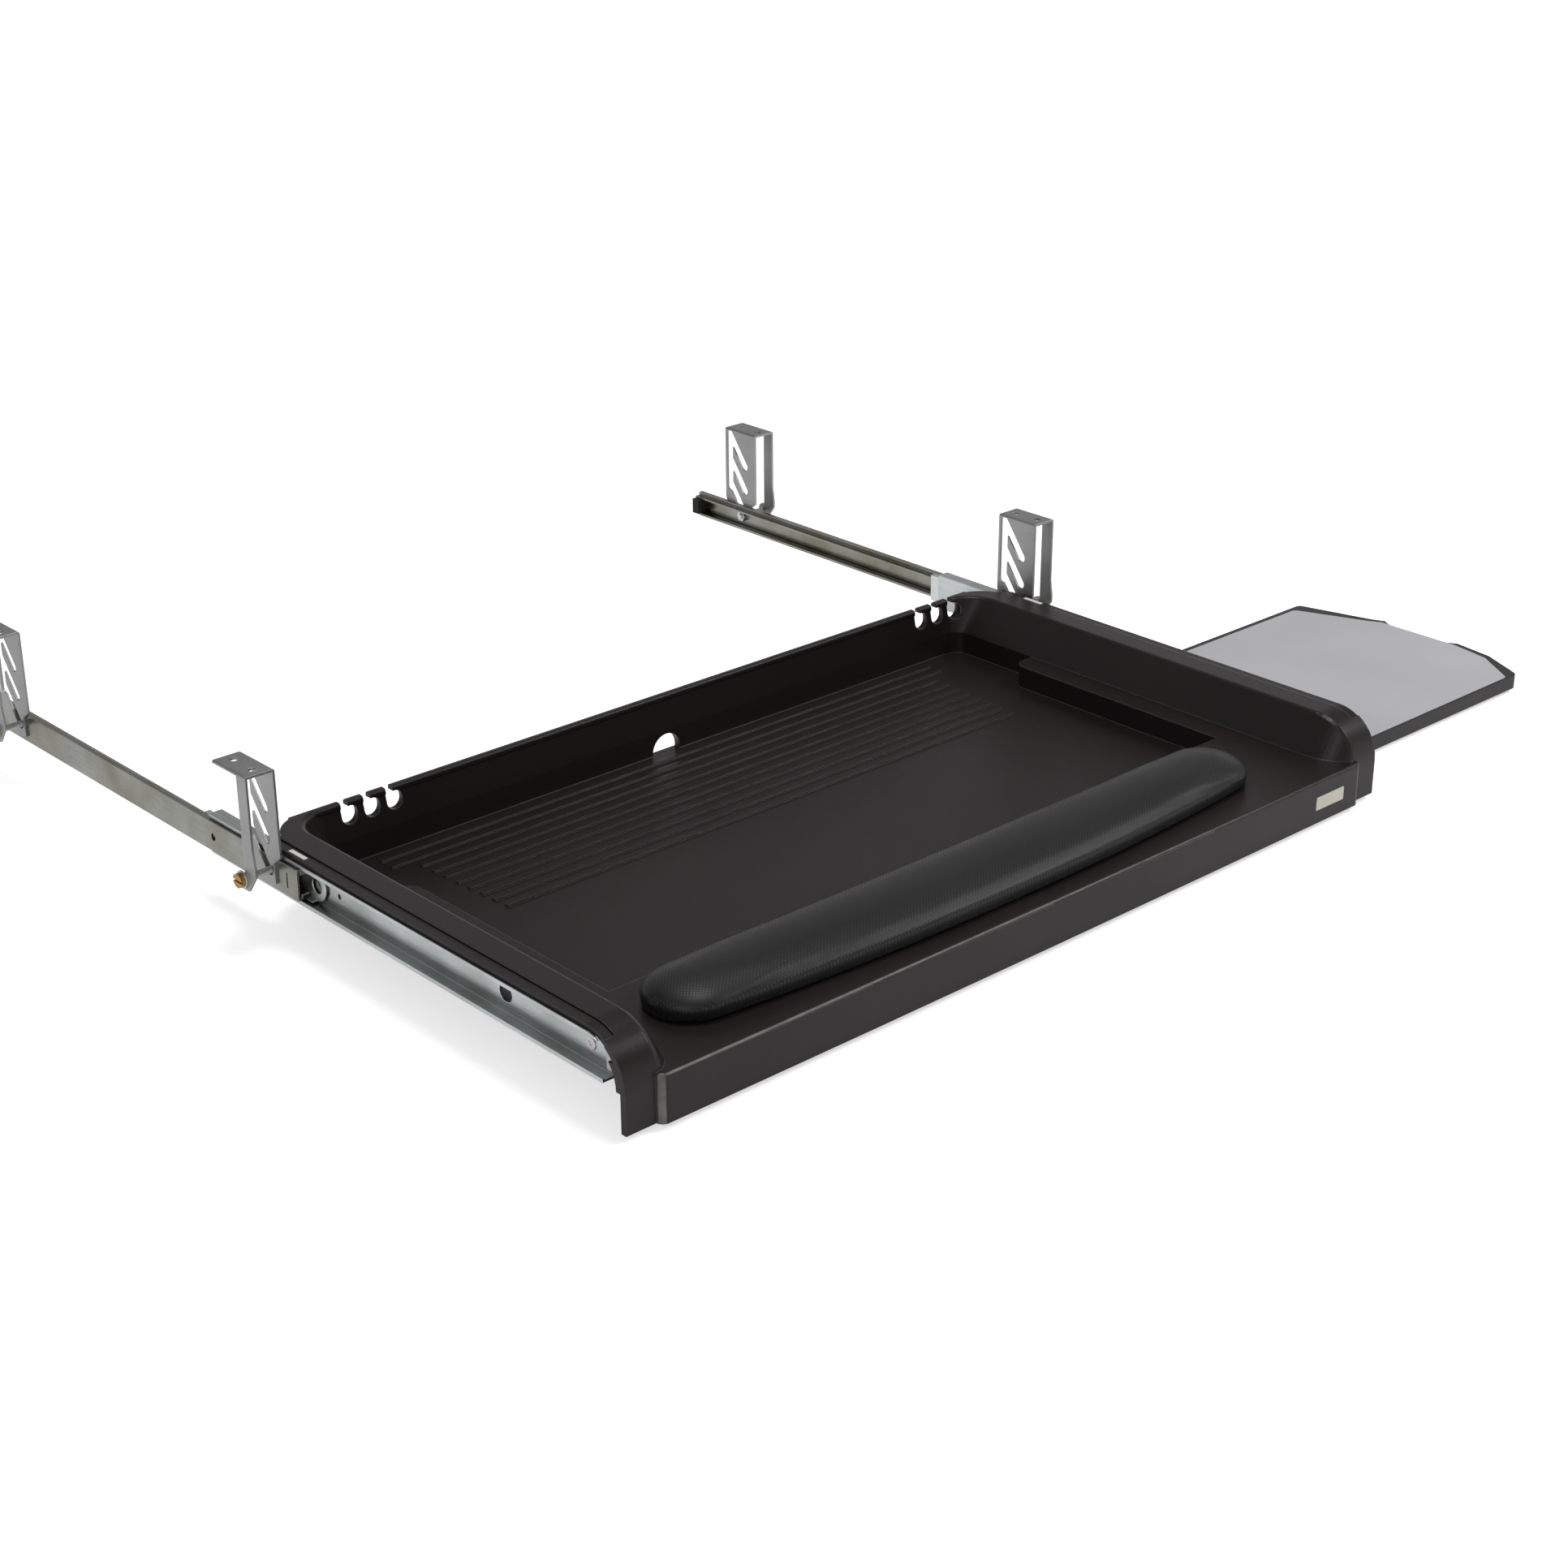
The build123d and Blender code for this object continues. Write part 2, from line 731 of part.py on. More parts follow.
def make_ball_cage():
    """Retainer between the members, with a round tongue in front and open ball pockets."""
    arm_edge = cage_web - cage_arm_reach
    low = ball_low - cage_sheet / 2
    high = ball_high + cage_sheet / 2
    points = [
        (arm_edge, low),
        (cage_web, low),
        (cage_web, high),
        (arm_edge, high),
        (arm_edge, high - cage_sheet),
        (cage_web - cage_sheet, high - cage_sheet),
        (cage_web - cage_sheet, low + cage_sheet),
        (arm_edge, low + cage_sheet),
    ]
    cage = section(points, cage_front, cage_front + cage_length)
    web_x = cage_web - half_width
    tongue_radius = (high - low) / 2
    tongue_end = cage_front + tongue_radius
    nose = block(
        web_x - cage_arm_reach - overrun,
        web_x + overrun,
        cage_front - overrun,
        tongue_end,
        low - overrun,
        high + overrun,
    )
    round_nose = rod_x(web_x - cage_sheet, web_x, tongue_end, slide_middle, tongue_radius)
    cage = cage - nose + (round_nose & nose)
    hole_y = cage_front + cage_hole_place
    cage -= rod_x(web_x - overrun, web_x + overrun, hole_y, slide_middle, cage_hole_radius)
    for y in ball_ys:
        for z in (ball_low, ball_high):
            pocket_radius = ball_radius + pocket_gap
            x = ball_place - half_width
            cage -= rod_z(x, y, z - cage_sheet, z + cage_sheet, pocket_radius)
    return cage


def make_slide_balls():
    """Bearing balls of one slide."""
    x = ball_place - half_width
    return group([Pos(x, y, z) * Sphere(ball_radius) for y in ball_ys for z in (ball_low, ball_high)])


def make_slide_tab():
    """White tab in the front end of the drawer member."""
    inner = drawer_web_inner - half_width
    return block(
        inner - tab_thickness,
        inner,
        drawer_front - bumper_gap,
        drawer_front - bumper_gap + tab_width,
        slide_middle - tab_height / 2,
        slide_middle + tab_height / 2,
    )


def make_lip_clip():
    """White clip that stands on the drawer member and fills the slot in the tray's lip."""
    middle = lip_width / 2 - half_width
    return block(
        middle - lip_slot_width / 2 + clip_gap,
        middle + lip_slot_width / 2 - clip_gap,
        lip_slot_start + clip_gap,
        lip_slot_start + lip_slot_length - clip_gap,
        slide_top,
        slide_top + clip_height,
    )


def make_slide_bumper():
    """Rubber block in the rear end of the cabinet member, which ends the travel."""
    return block(
        cabinet_web + slide_sheet - half_width,
        drawer_web_inner + bumper_overlap - half_width,
        cabinet_rear - bumper_length,
        cabinet_rear,
        race_low + slide_sheet + bumper_gap,
        race_high - slide_sheet - bumper_gap,
    )


def make_slide_screws():
    """Thin-headed screws through the drawer member into the skirt."""
    seat = drawer_web_inner - half_width
    screws = []
    for place in slide_screw_places:
        y = drawer_front + place
        screw = rod_x(seat - slide_screw_head, seat, y, slide_middle, slide_screw_head_radius)
        screw += rod_x(seat, seat + slide_screw_length, y, slide_middle, slide_screw_radius)
        socket = slide_screw_head * socket_depth_share
        face = seat - slide_screw_head
        screw -= rod_x(face - overrun, face + socket, y, slide_middle, socket_radius)
        screws.append(screw)
    return group(screws)


strap_outer = cabinet_web - bracket_sheet - strap_gap - bracket_sheet
comb_inner = cabinet_web
comb_outer = comb_inner - bracket_sheet


def make_bracket(middle_y):
    """Bent steel bracket: web on the desk, comb leg by the slide, strap leg outside."""
    web_left = strap_outer - half_width
    web_right = comb_inner - half_width
    web = block(
        web_left,
        web_right,
        middle_y - web_front,
        middle_y + web_rear,
        desk_height - bracket_sheet,
        desk_height,
    )
    x_screw = (web_left + web_right) / 2
    for offset in (-desk_hole_offset, desk_hole_offset):
        web -= rod_z(
            x_screw, middle_y + offset, desk_height - overrun, desk_height + overrun, desk_hole_radius
        )

    comb_x = comb_outer - half_width
    bolt_y = middle_y - bolt_lead
    points = [
        (comb_x, middle_y - comb_front, desk_height),
        (comb_x, middle_y - comb_front, comb_shoulder),
        (comb_x, middle_y - comb_foot_front, comb_shoulder - overrun),
        (comb_x, middle_y - comb_foot_front, comb_foot_bottom),
        (comb_x, middle_y + comb_foot_rear - overrun, comb_foot_bottom),
        (comb_x, middle_y + comb_foot_rear, comb_foot_bottom + overrun),
        (comb_x, middle_y + comb_rear, comb_shoulder),
        (comb_x, middle_y + comb_rear, desk_height),
    ]
    comb = prism(points, bracket_sheet, (1, 0, 0))
    half_slot = channel_width / 2
    channel_y = middle_y + channel_place
    for index in range(branch_count):
        z = bolt_height + index * branch_pitch
        slope = math.atan2(branch_rise, channel_y - bolt_y)
        across_y = half_slot * math.sin(slope)
        across_z = half_slot * math.cos(slope)
        branch = [
            (comb_x, bolt_y - across_y, z + across_z),
            (comb_x, bolt_y + across_y, z - across_z),
            (comb_x, channel_y + across_y, z + branch_rise - across_z),
            (comb_x, channel_y - across_y, z + branch_rise + across_z),
        ]
        comb -= Pos(-overrun, 0, 0) * prism(branch, bracket_sheet + overrun * 2, (1, 0, 0))
        comb -= rod_x(comb_x - overrun, comb_x + overrun, bolt_y, z, half_slot)
    channel_low = bolt_height + branch_rise - half_slot
    channel_high = bolt_height + (branch_count - 1) * branch_pitch + branch_rise
    comb -= block(
        comb_x - overrun,
        comb_x + overrun,
        channel_y - half_slot,
        channel_y + half_slot,
        channel_low,
        channel_high,
    )
    for z in (channel_low, channel_high):
        comb -= rod_x(comb_x - overrun, comb_x + overrun, channel_y, z, half_slot)
    strap_x = strap_outer - half_width
    strap_front = middle_y - strap_rear - strap_width
    strap_back = middle_y - strap_rear
    foot_top = strap_foot_bottom + strap_foot_height
    points = [
        (strap_x, strap_front, desk_height),
        (strap_x, strap_front, foot_top + strap_foot_radius),
        (strap_x, middle_y - strap_foot_front, foot_top - strap_foot_radius),
        (strap_x, middle_y - strap_foot_front, foot_top - strap_foot_radius * 2),
        (strap_x, bolt_y - strap_foot_radius, strap_foot_bottom),
        (strap_x, bolt_y + strap_foot_radius, strap_foot_bottom),
        (strap_x, strap_back, bolt_height + strap_foot_radius),
        (strap_x, strap_back, desk_height),
    ]
    strap = prism(points, bracket_sheet, (1, 0, 0))
    strap -= rod_x(strap_x - overrun, strap_x + overrun, bolt_y, bolt_height, bolt_radius + bolt_gap)
    bracket = web + comb + strap
    inside_left = web_left + bracket_sheet / 2
    inside_right = web_right - bracket_sheet / 2
    corners = bracket.edges().filter_by(Axis.Y).filter_by(
        lambda edge: edge.center().Z > desk_height - bracket_sheet / 2
        and edge.length > strap_width / 2
        and not inside_left < edge.center().X < inside_right
    )
    return fillet(corners, bracket_bend)


def make_bolt(y):
    """Round-headed bolt through the strap, the comb and the slide."""
    seat = strap_outer - washer_height - half_width
    tip = cabinet_web + slide_sheet + nut_height + bolt_tip - half_width
    bolt = rod_x(seat, tip, y, bolt_height, bolt_radius)
    bolt += rod_x(seat - bolt_head, seat, y, bolt_height, bolt_head_radius)
    slot = block(
        seat - bolt_head,
        seat - bolt_head * (1 - socket_depth_share),
        y - bolt_head_radius * 2,
        y + bolt_head_radius * 2,
        bolt_height - bolt_radius / 3,
        bolt_height + bolt_radius / 3,
    )
    return bolt - slot


def make_washer(y):
    """Washer under a bolt's head."""
    seat = strap_outer - half_width
    washer = rod_x(seat - washer_height, seat, y, bolt_height, washer_radius)
    return washer - rod_x(seat - overrun, seat + overrun, y, bolt_height, bolt_radius + bolt_gap)


def make_nut(y):
    """Six-sided nut inside the cabinet member, with flats above and below."""
    seat = cabinet_web + slide_sheet - half_width
    hexagon = Plane(origin=(seat, y, bolt_height), x_dir=(0, 1, 0), z_dir=(1, 0, 0)) * RegularPolygon(
        nut_size / 2, 6, major_radius=False
    )
    nut = extrude(hexagon, amount=nut_height, dir=(1, 0, 0))
    return nut - rod_x(seat - overrun, seat + nut_height + overrun, y, bolt_height, bolt_radius)


def platform_plan(extra, corner_extra, radius, z, inner, front_extra, notch):
    """The platform's outline, or the mat's when drawn in by its edges."""
    front = platform_front + front_extra
    rear = platform_front + platform_depth - extra
    corner = platform_corner - corner_extra
    reach = platform_reach - extra
    bow_front = platform_front + platform_depth * platform_bow_front_share
    bow_rear = platform_front + platform_depth * (1 - platform_bow_rear_share)
    notch_front = platform_front + platform_depth * platform_notch_front_share
    notch_rear = platform_front + platform_depth * platform_notch_rear_share
    slope = platform_notch_slope
    points = [
        (inner, front, z),
        (corner, front, z),
        (reach - radius, bow_front, z),
        (reach, notch_front - slope, z),
        (reach - notch, notch_front, z),
        (reach - notch, notch_rear, z),
        (reach, notch_rear + slope, z),
        (reach - radius, bow_rear, z),
        (corner, rear, z),
        (inner, rear, z),
    ]
    face = make_face(Polyline(*points, close=True))
    ends = [
        vertex
        for vertex in face.vertices()
        if vertex.X > inner + radius and (vertex.Y < front + radius or vertex.Y > rear - radius)
    ]
    return fillet(ends, radius)


def make_mouse_platform():
    """Hollow moulded platform with a recess for the mat and ears at its inner end."""
    bottom = platform_top - platform_height
    inner = platform_inner
    front, rear = platform_front, platform_front + platform_depth
    outline = platform_plan(0, 0, platform_corner_radius, bottom, inner, 0, platform_notch)
    platform = extrude(outline, amount=platform_height, dir=(0, 0, 1))
    top_edges = platform.edges().filter_by(lambda edge: edge.bounding_box().min.Z > bottom + wall)
    platform = chamfer(top_edges, platform_edge_radius / 2)
    room = platform_plan(
        platform_wall,
        platform_wall,
        platform_corner_radius - platform_wall / 2,
        bottom - overrun,
        inner + platform_wall,
        platform_wall,
        platform_notch,
    )
    room_height = platform_height - mat_thickness - platform_deck + overrun
    platform -= extrude(room, amount=room_height, dir=(0, 0, 1))
    recess = mat_plan(0, platform_top - mat_thickness)
    platform -= extrude(recess, amount=overrun, dir=(0, 0, 1))
    ceiling = platform_top - mat_thickness - platform_deck / 2
    for index in range(1, platform_rib_count + 1):
        x = inner + (platform_corner - inner) * index / (platform_rib_count + 1)
        platform += block(
            x - platform_wall / 4,
            x + platform_wall / 4,
            front + platform_wall / 2,
            rear - platform_wall / 2,
            bottom + platform_wall,
            ceiling,
        )
    for edge, way in ((front, -1), (rear, 1)):
        ear_start = edge - way * platform_wall / 2
        ear_edge = edge + way * ear_reach
        platform += block(inner, inner + ear_length, ear_start, ear_edge, bottom, bottom + ear_height)
    return platform


def mat_plan(gap, z):
    """The mat's outline, less a gap all round."""
    return platform_plan(
        mat_edge + gap,
        mat_edge + mat_corner_edge + gap,
        mat_corner_radius,
        z,
        platform_inner + mat_inner_edge + gap,
        mat_front_edge + gap,
        0,
    )


def make_mouse_mat():
    """Thin mat let into the platform."""
    bottom = platform_top - mat_thickness
    return extrude(mat_plan(mat_gap, bottom), amount=mat_thickness, dir=(0, 0, 1))


platform_bottom = platform_top - platform_height
lip_top = platform_bottom - rail_gap
rail_reach = ear_reach + rail_ear_gap


def make_rail(edge, way, ceiling):
    """Rail whose web hangs from a ceiling and whose lip carries the platform's edge."""
    web_inner = edge + way * rail_reach
    web_outer = web_inner + way * rail_sheet
    rail = block(rail_left, rail_right, web_inner, web_outer, lip_top - rail_sheet, ceiling)
    lip_edge = edge - way * rail_lip
    rail += block(rail_left, rail_right, lip_edge, web_outer, lip_top - rail_sheet, lip_top)
    flange_edge = web_outer + way * rail_flange
    rail += block(rail_left, rail_right, web_inner, flange_edge, ceiling - rail_sheet, ceiling)
    rail += block(rail_left, rail_left + rail_sheet, lip_edge, web_outer, lip_top - rail_sheet, platform_top)
    for x in rail_screw_xs:
        y = web_outer + way * rail_flange / 2
        radius = rail_screw_radius + rail_screw_gap
        rail -= rod_z(x, y, ceiling - rail_sheet * 2, ceiling + rail_sheet, radius)
    return rail


rail_span = rail_right - rail_left - rail_screw_inset * 2
rail_screw_xs = [
    rail_left + rail_screw_inset + rail_span * index / (rail_screw_count - 1)
    for index in range(rail_screw_count)
]
rail_sides = (
    (platform_front, -1, deck_top - wall),
    (platform_front + platform_depth, 1, floor_top - wall),
)


def make_rail_screws():
    """Screws that hold both rails up to the tray."""
    screws = []
    for edge, way, ceiling in rail_sides:
        y = edge + way * (rail_reach + rail_sheet + rail_flange / 2)
        seat = ceiling - rail_sheet
        for x in rail_screw_xs:
            screw = rod_z(x, y, seat - rail_screw_head, seat, rail_screw_head_radius)
            screw += rod_z(x, y, seat, ceiling + rail_screw_grip, rail_screw_radius)
            face = seat - rail_screw_head
            socket = rail_screw_head * socket_depth_share
            screw -= rod_z(x, y, face - overrun, face + socket, socket_radius)
            screws.append(screw)
    return group(screws)


def cut_rail_screw_holes(shell):
    """Blind holes in the tray for the rail screws."""
    for edge, way, ceiling in rail_sides:
        y = edge + way * (rail_reach + rail_sheet + rail_flange / 2)
        for x in rail_screw_xs:
            shell -= rod_z(x, y, ceiling - wall, ceiling + rail_screw_grip, rail_screw_radius)
    return shell


def make_platform_stops():
    """Blocks in the rails that the platform's ears meet when it is pulled out."""
    x = platform_inner + ear_length + stop_gap
    stops = []
    for edge, way, ceiling in rail_sides:
        web_inner = edge + way * rail_reach
        stop_inner = edge + way * rail_gap
        top = platform_bottom + ear_height
        stops.append(block(x, x + stop_length, stop_inner, web_inner, lip_top, top))
    return group(stops)


def rest_section(x, bottom, height):
    """One cross-section of the wrist rest: flat below, bulging sides and a crowned top."""
    share = abs(x) / rest_half_length
    from_end = rest_half_length - abs(x)
    reach = min(from_end / rest_end_depth, 1)
    round_end = math.sqrt(1 - (1 - reach) ** 2)
    fall = min(from_end / rest_end_drop, 1)
    round_drop = math.sqrt(1 - (1 - fall) ** 2)
    bow = (rest_front_end - rest_front_middle) * share**rest_bow_power
    middle = (rest_front_middle + bow + rest_rear) / 2
    full_half = (rest_rear - rest_front_middle - bow) / 2
    half = full_half * (rest_end_share + (1 - rest_end_share) * round_end)
    top = bottom + height * (rest_drop_share + (1 - rest_drop_share) * round_drop)
    side = bottom + (top - bottom) * rest_crown_share
    bulge = rest_side_bulge * round_end
    foot = half - bulge
    place = rest_middle + x
    front_foot, rear_foot = (place, middle - foot, bottom), (place, middle + foot, bottom)
    shoulder = half - bulge
    front_side, rear_side = (place, middle - shoulder, side), (place, middle + shoulder, side)
    low = bottom + (side - bottom) / 2
    edges = [
        Line(front_foot, rear_foot),
        ThreePointArc(rear_foot, (place, middle + half, low), rear_side),
        ThreePointArc(rear_side, (place, middle, top), front_side),
        ThreePointArc(front_side, (place, middle - half, low), front_foot),
    ]
    return make_face(edges)


rest_end_shares = (0.02, 0.1, 0.24, 0.45, 0.7, 1)


def make_wrist_rest_pad():
    """Crowned cushion with a bowed front and rounded ends."""
    bottom = deck_top + rest_base_height
    height = rest_height - rest_base_height
    right = [rest_half_length - share * rest_end_depth for share in rest_end_shares]
    straight = rest_half_length - rest_end_depth
    between = [straight * index / rest_spans for index in range(1 - rest_spans, rest_spans)]
    stations = [-x for x in right] + between + right[::-1]
    return loft([rest_section(x, bottom, height) for x in stations], ruled=True)


def make_wrist_rest_base():
    """Thin plate under the cushion, with the same bowed outline drawn in."""
    half = rest_half_length - rest_base_inset - rest_end_depth / 4
    front_end = rest_front_end + rest_base_inset * 2
    front_middle = rest_front_middle + rest_base_inset
    rear = rest_rear - rest_base_inset
    left, right, middle = rest_middle - half, rest_middle + half, rest_middle
    z = deck_top
    outline = [
        ThreePointArc((left, front_end, z), (middle, front_middle, z), (right, front_end, z)),
        Line((right, front_end, z), (right, rear, z)),
        Line((right, rear, z), (left, rear, z)),
        Line((left, rear, z), (left, front_end, z)),
    ]
    face = make_face(outline)
    face = fillet(face.vertices(), rest_end_depth / 2)
    return extrude(face, amount=rest_base_height, dir=(0, 0, 1))


def make_label_plate():
    """Bare plate bonded into its pocket on the fascia."""
    x = half_width - label_from_end
    back = -fascia_reach + label_pocket_depth
    plate = block(
        x - label_length / 2,
        x + label_length / 2,
        back - label_thickness,
        back,
        label_bottom,
        label_bottom + label_height,
    )
    return fillet(plate.edges().filter_by(Axis.Y), label_corner_radius)


to_part_frame = Pos(0, -bracket_setback - bracket_spacing / 2, -desk_height)
os.makedirs("parts", exist_ok=True)


def save(name, shape):
    """Write one node in the part frame."""
    export_step(to_part_frame * shape, "parts/" + name + ".step")


def save_pair(name, left):
    """Write a left node and its mirror image."""
    for side, piece in zip(("left", "right"), both_sides(left)):
        save(name + "_" + side, piece)


save("tray_shell", cut_rail_screw_holes(make_tray_shell()))
save("label_plate", make_label_plate())
save("wrist_rest_base", make_wrist_rest_base())
save("wrist_rest_pad", make_wrist_rest_pad())

save_pair("drawer_member", make_drawer_member())
save_pair("cabinet_member", make_cabinet_member())
save_pair("ball_cage", make_ball_cage())
save_pair("slide_balls", make_slide_balls())
save("slide_tabs", group(both_sides(make_slide_tab()) + both_sides(make_lip_clip())))
save("slide_bumpers", group(both_sides(make_slide_bumper())))
save("slide_screws", group(both_sides(make_slide_screws())))

save_pair("bracket_front", make_bracket(front_bracket_y))
save_pair("bracket_rear", make_bracket(rear_bracket_y))
for name, make in (("bolts", make_bolt), ("washers", make_washer), ("nuts", make_nut)):
    pieces = [piece for y in bolt_places for piece in both_sides(make(y))]
    save("bracket_" + name, group(pieces))

save("mouse_platform", make_mouse_platform())
save("mouse_mat", make_mouse_mat())
save("platform_rail_front", make_rail(*rail_sides[0]))
save("platform_rail_rear", make_rail(*rail_sides[1]))
save("platform_rail_screws", make_rail_screws())
save("platform_stops", make_platform_stops())
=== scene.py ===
import math

import bpy
from mathutils import Matrix, Vector


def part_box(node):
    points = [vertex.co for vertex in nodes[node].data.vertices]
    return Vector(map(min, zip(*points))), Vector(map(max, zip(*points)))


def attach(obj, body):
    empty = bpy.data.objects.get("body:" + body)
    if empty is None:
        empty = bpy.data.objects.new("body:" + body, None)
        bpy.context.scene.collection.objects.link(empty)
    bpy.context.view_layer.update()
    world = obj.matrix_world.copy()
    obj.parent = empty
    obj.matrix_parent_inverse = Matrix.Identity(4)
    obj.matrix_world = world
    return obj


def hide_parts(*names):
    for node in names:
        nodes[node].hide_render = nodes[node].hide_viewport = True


# Under-desk keyboard drawer, in metres, in the part's own frame: +X right, +Y back, +Z up.
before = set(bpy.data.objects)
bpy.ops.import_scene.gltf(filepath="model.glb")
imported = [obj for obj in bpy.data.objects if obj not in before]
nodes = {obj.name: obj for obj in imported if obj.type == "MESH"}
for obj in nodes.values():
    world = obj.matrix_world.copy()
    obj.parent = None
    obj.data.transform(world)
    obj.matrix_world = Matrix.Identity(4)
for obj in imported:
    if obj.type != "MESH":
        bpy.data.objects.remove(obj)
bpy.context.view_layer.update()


# Camera
# It stands in front of the left horn and looks down over the tray at the pulled-out drawer.
camera_place = Vector((-0.94323, -1.26054, 0.55257))
camera_lens = 61.88
camera_sensor = 36.0
camera_nearest, camera_farthest = 0.05, 50
turn, lift, roll = (math.radians(angle) for angle in (-42.3, 24.0, -0.26))

toward_back = Vector((
    math.sin(turn) * math.cos(lift), -math.cos(turn) * math.cos(lift), math.sin(lift)
))
level_right = Vector((math.cos(turn), math.sin(turn), 0))
level_up = toward_back.cross(level_right)
view_right = level_right * math.cos(roll) + level_up * math.sin(roll)
view_up = level_up * math.cos(roll) - level_right * math.sin(roll)
camera_data = bpy.data.cameras.new("camera")
camera_data.lens = camera_lens
camera_data.sensor_width = camera_sensor
camera_data.clip_start, camera_data.clip_end = camera_nearest, camera_farthest
camera = bpy.data.objects.new("camera", camera_data)
camera.matrix_world = Matrix.Translation(camera_place) @ Matrix(
    (view_right, view_up, toward_back)
).transposed().to_4x4()
bpy.context.scene.collection.objects.link(camera)
bpy.context.scene.camera = camera


# Floor and studio light
# A pale floor just under the drawer, in an evenly lit room with three soft lamps. What the
# camera and reflections see of the floor and the horizon is white, apart from the shadow.
floor_height = -0.1002
floor_reach = 14.0
floor_corners = ((-1, -1), (1, -1), (1, 1), (-1, 1))
floor_colour = (0.86, 0.86, 0.86, 1)
white = (1, 1, 1, 1)
floor_near, floor_far = 0.9, 2.2
floor_near_glow, floor_far_glow = 0.62, 0.80
floor_reflected_glow = 0.32
room_light = 0.28
horizon_low, horizon_high = 0.20, 0.32
lamp_target = Vector((0, -0.25, -0.06))


def node(tree, kind, inputs=None, **settings):
    """One node of a tree, with its settings and its inputs' values or links."""
    made = tree.nodes.new(kind)
    for key, value in settings.items():
        setattr(made, key, value)
    for key, value in (inputs or {}).items():
        if isinstance(value, bpy.types.NodeSocket):
            tree.links.new(value, made.inputs[key])
        else:
            made.inputs[key].default_value = value
    return made


def math_node(tree, operation, first, second=0.0, clamp=False):
    """The result of one sum on two values or links."""
    sums = {0: first, 1: second}
    return node(tree, "ShaderNodeMath", sums, operation=operation, use_clamp=clamp).outputs[0]


def spread(tree, value, low, high, to_low=0.0, to_high=1.0):
    """A value spread from one range to another, and held inside it."""
    ranges = {0: value, 1: low, 2: high, 3: to_low, 4: to_high}
    return node(tree, "ShaderNodeMapRange", ranges).outputs[0]


def place_on_piece(tree):
    """Where a point lies, in the part's own frame."""
    return node(tree, "ShaderNodeTexCoord").outputs["Object"]


def parts_of(tree, place):
    """The X, Y and Z of a place or a direction."""
    return node(tree, "ShaderNodeSeparateXYZ", {"Vector": place}).outputs


def length_of(tree, place):
    """How long a place's or an offset's vector is."""
    return node(
        tree, "ShaderNodeVectorMath", {0: place}, operation="LENGTH"
    ).outputs["Value"]


def seen_directly(tree, by_camera, by_reflection):
    """A strength for what the camera sees and one for what metal and glass show."""
    path = node(tree, "ShaderNodeLightPath").outputs
    bounced = math_node(tree, "MAXIMUM", path["Is Glossy Ray"], path["Is Transmission Ray"])
    shown = math_node(tree, "MULTIPLY", bounced, by_reflection)
    seen = math_node(tree, "MULTIPLY", by_camera, path["Is Camera Ray"])
    return math_node(tree, "MAXIMUM", shown, seen)


def new_material(name):
    """A material with its tree and its main shader."""
    material = bpy.data.materials.new(name)
    material.use_nodes = True
    return material, material.node_tree, material.node_tree.nodes["Principled BSDF"]


def mesh_object(name, points, faces, material=None):
    """A plain mesh piece whose place is in its points."""
    mesh = bpy.data.meshes.new(name)
    mesh.from_pydata([tuple(point) for point in points], [], faces)
    mesh.update()
    made = bpy.data.objects.new(name, mesh)
    bpy.context.scene.collection.objects.link(made)
    if material:
        mesh.materials.append(material)
    return made


floor_material, tree, shader = new_material("pale floor")
tree.nodes.remove(shader)
lit = node(tree, "ShaderNodeBsdfDiffuse", {"Color": floor_colour})
reach = length_of(tree, place_on_piece(tree))
near_to_far = spread(tree, reach, floor_near, floor_far, floor_near_glow, floor_far_glow)
glow = node(
    tree,
    "ShaderNodeEmission",
    {"Color": white, "Strength": seen_directly(tree, near_to_far, floor_reflected_glow)},
)
both = node(tree, "ShaderNodeAddShader", {0: lit.outputs[0], 1: glow.outputs[0]})
tree.links.new(both.outputs[0], tree.nodes["Material Output"].inputs["Surface"])
floor = mesh_object(
    "floor",
    [(x * floor_reach, y * floor_reach, floor_height) for x, y in floor_corners],
    [(0, 1, 2, 3)],
    floor_material,
)

world = bpy.data.worlds.new("even room")
bpy.context.scene.world = world
world.use_nodes = True
tree = world.node_tree
room = tree.nodes["Background"]
room.inputs["Color"].default_value = white
direction = node(tree, "ShaderNodeTexCoord").outputs["Generated"]
white_horizon = spread(
    tree, parts_of(tree, direction)["Z"], horizon_low, horizon_high, 1.0, 0.0
)
seen = math_node(tree, "MULTIPLY", seen_directly(tree, 1.0, 1.0), white_horizon)
tree.links.new(spread(tree, seen, 0.0, 1.0, room_light, 1.0), room.inputs["Strength"])

# Each lamp's name, place, width and power in watts
for name, place, size, power in (
    ("overhead_box", Vector((0.10, -0.20, 1.95)), 0.7, 15.0),
    ("left_lamp", Vector((-1.5, -0.9, 0.9)), 0.5, 3.5),
    ("right_lamp", Vector((1.17, -1.12, 1.15)), 0.4, 10.0),
):
    lamp_data = bpy.data.lights.new(name, "AREA")
    lamp_data.shape, lamp_data.size, lamp_data.energy = "DISK", size, power
    lamp = bpy.data.objects.new(name, lamp_data)
    aim = (lamp_target - place).to_track_quat("-Z", "Y")
    lamp.matrix_world = Matrix.Translation(place) @ aim.to_matrix().to_4x4()
    bpy.context.scene.collection.objects.link(lamp)
bpy.context.scene.view_settings.view_transform = "Standard"


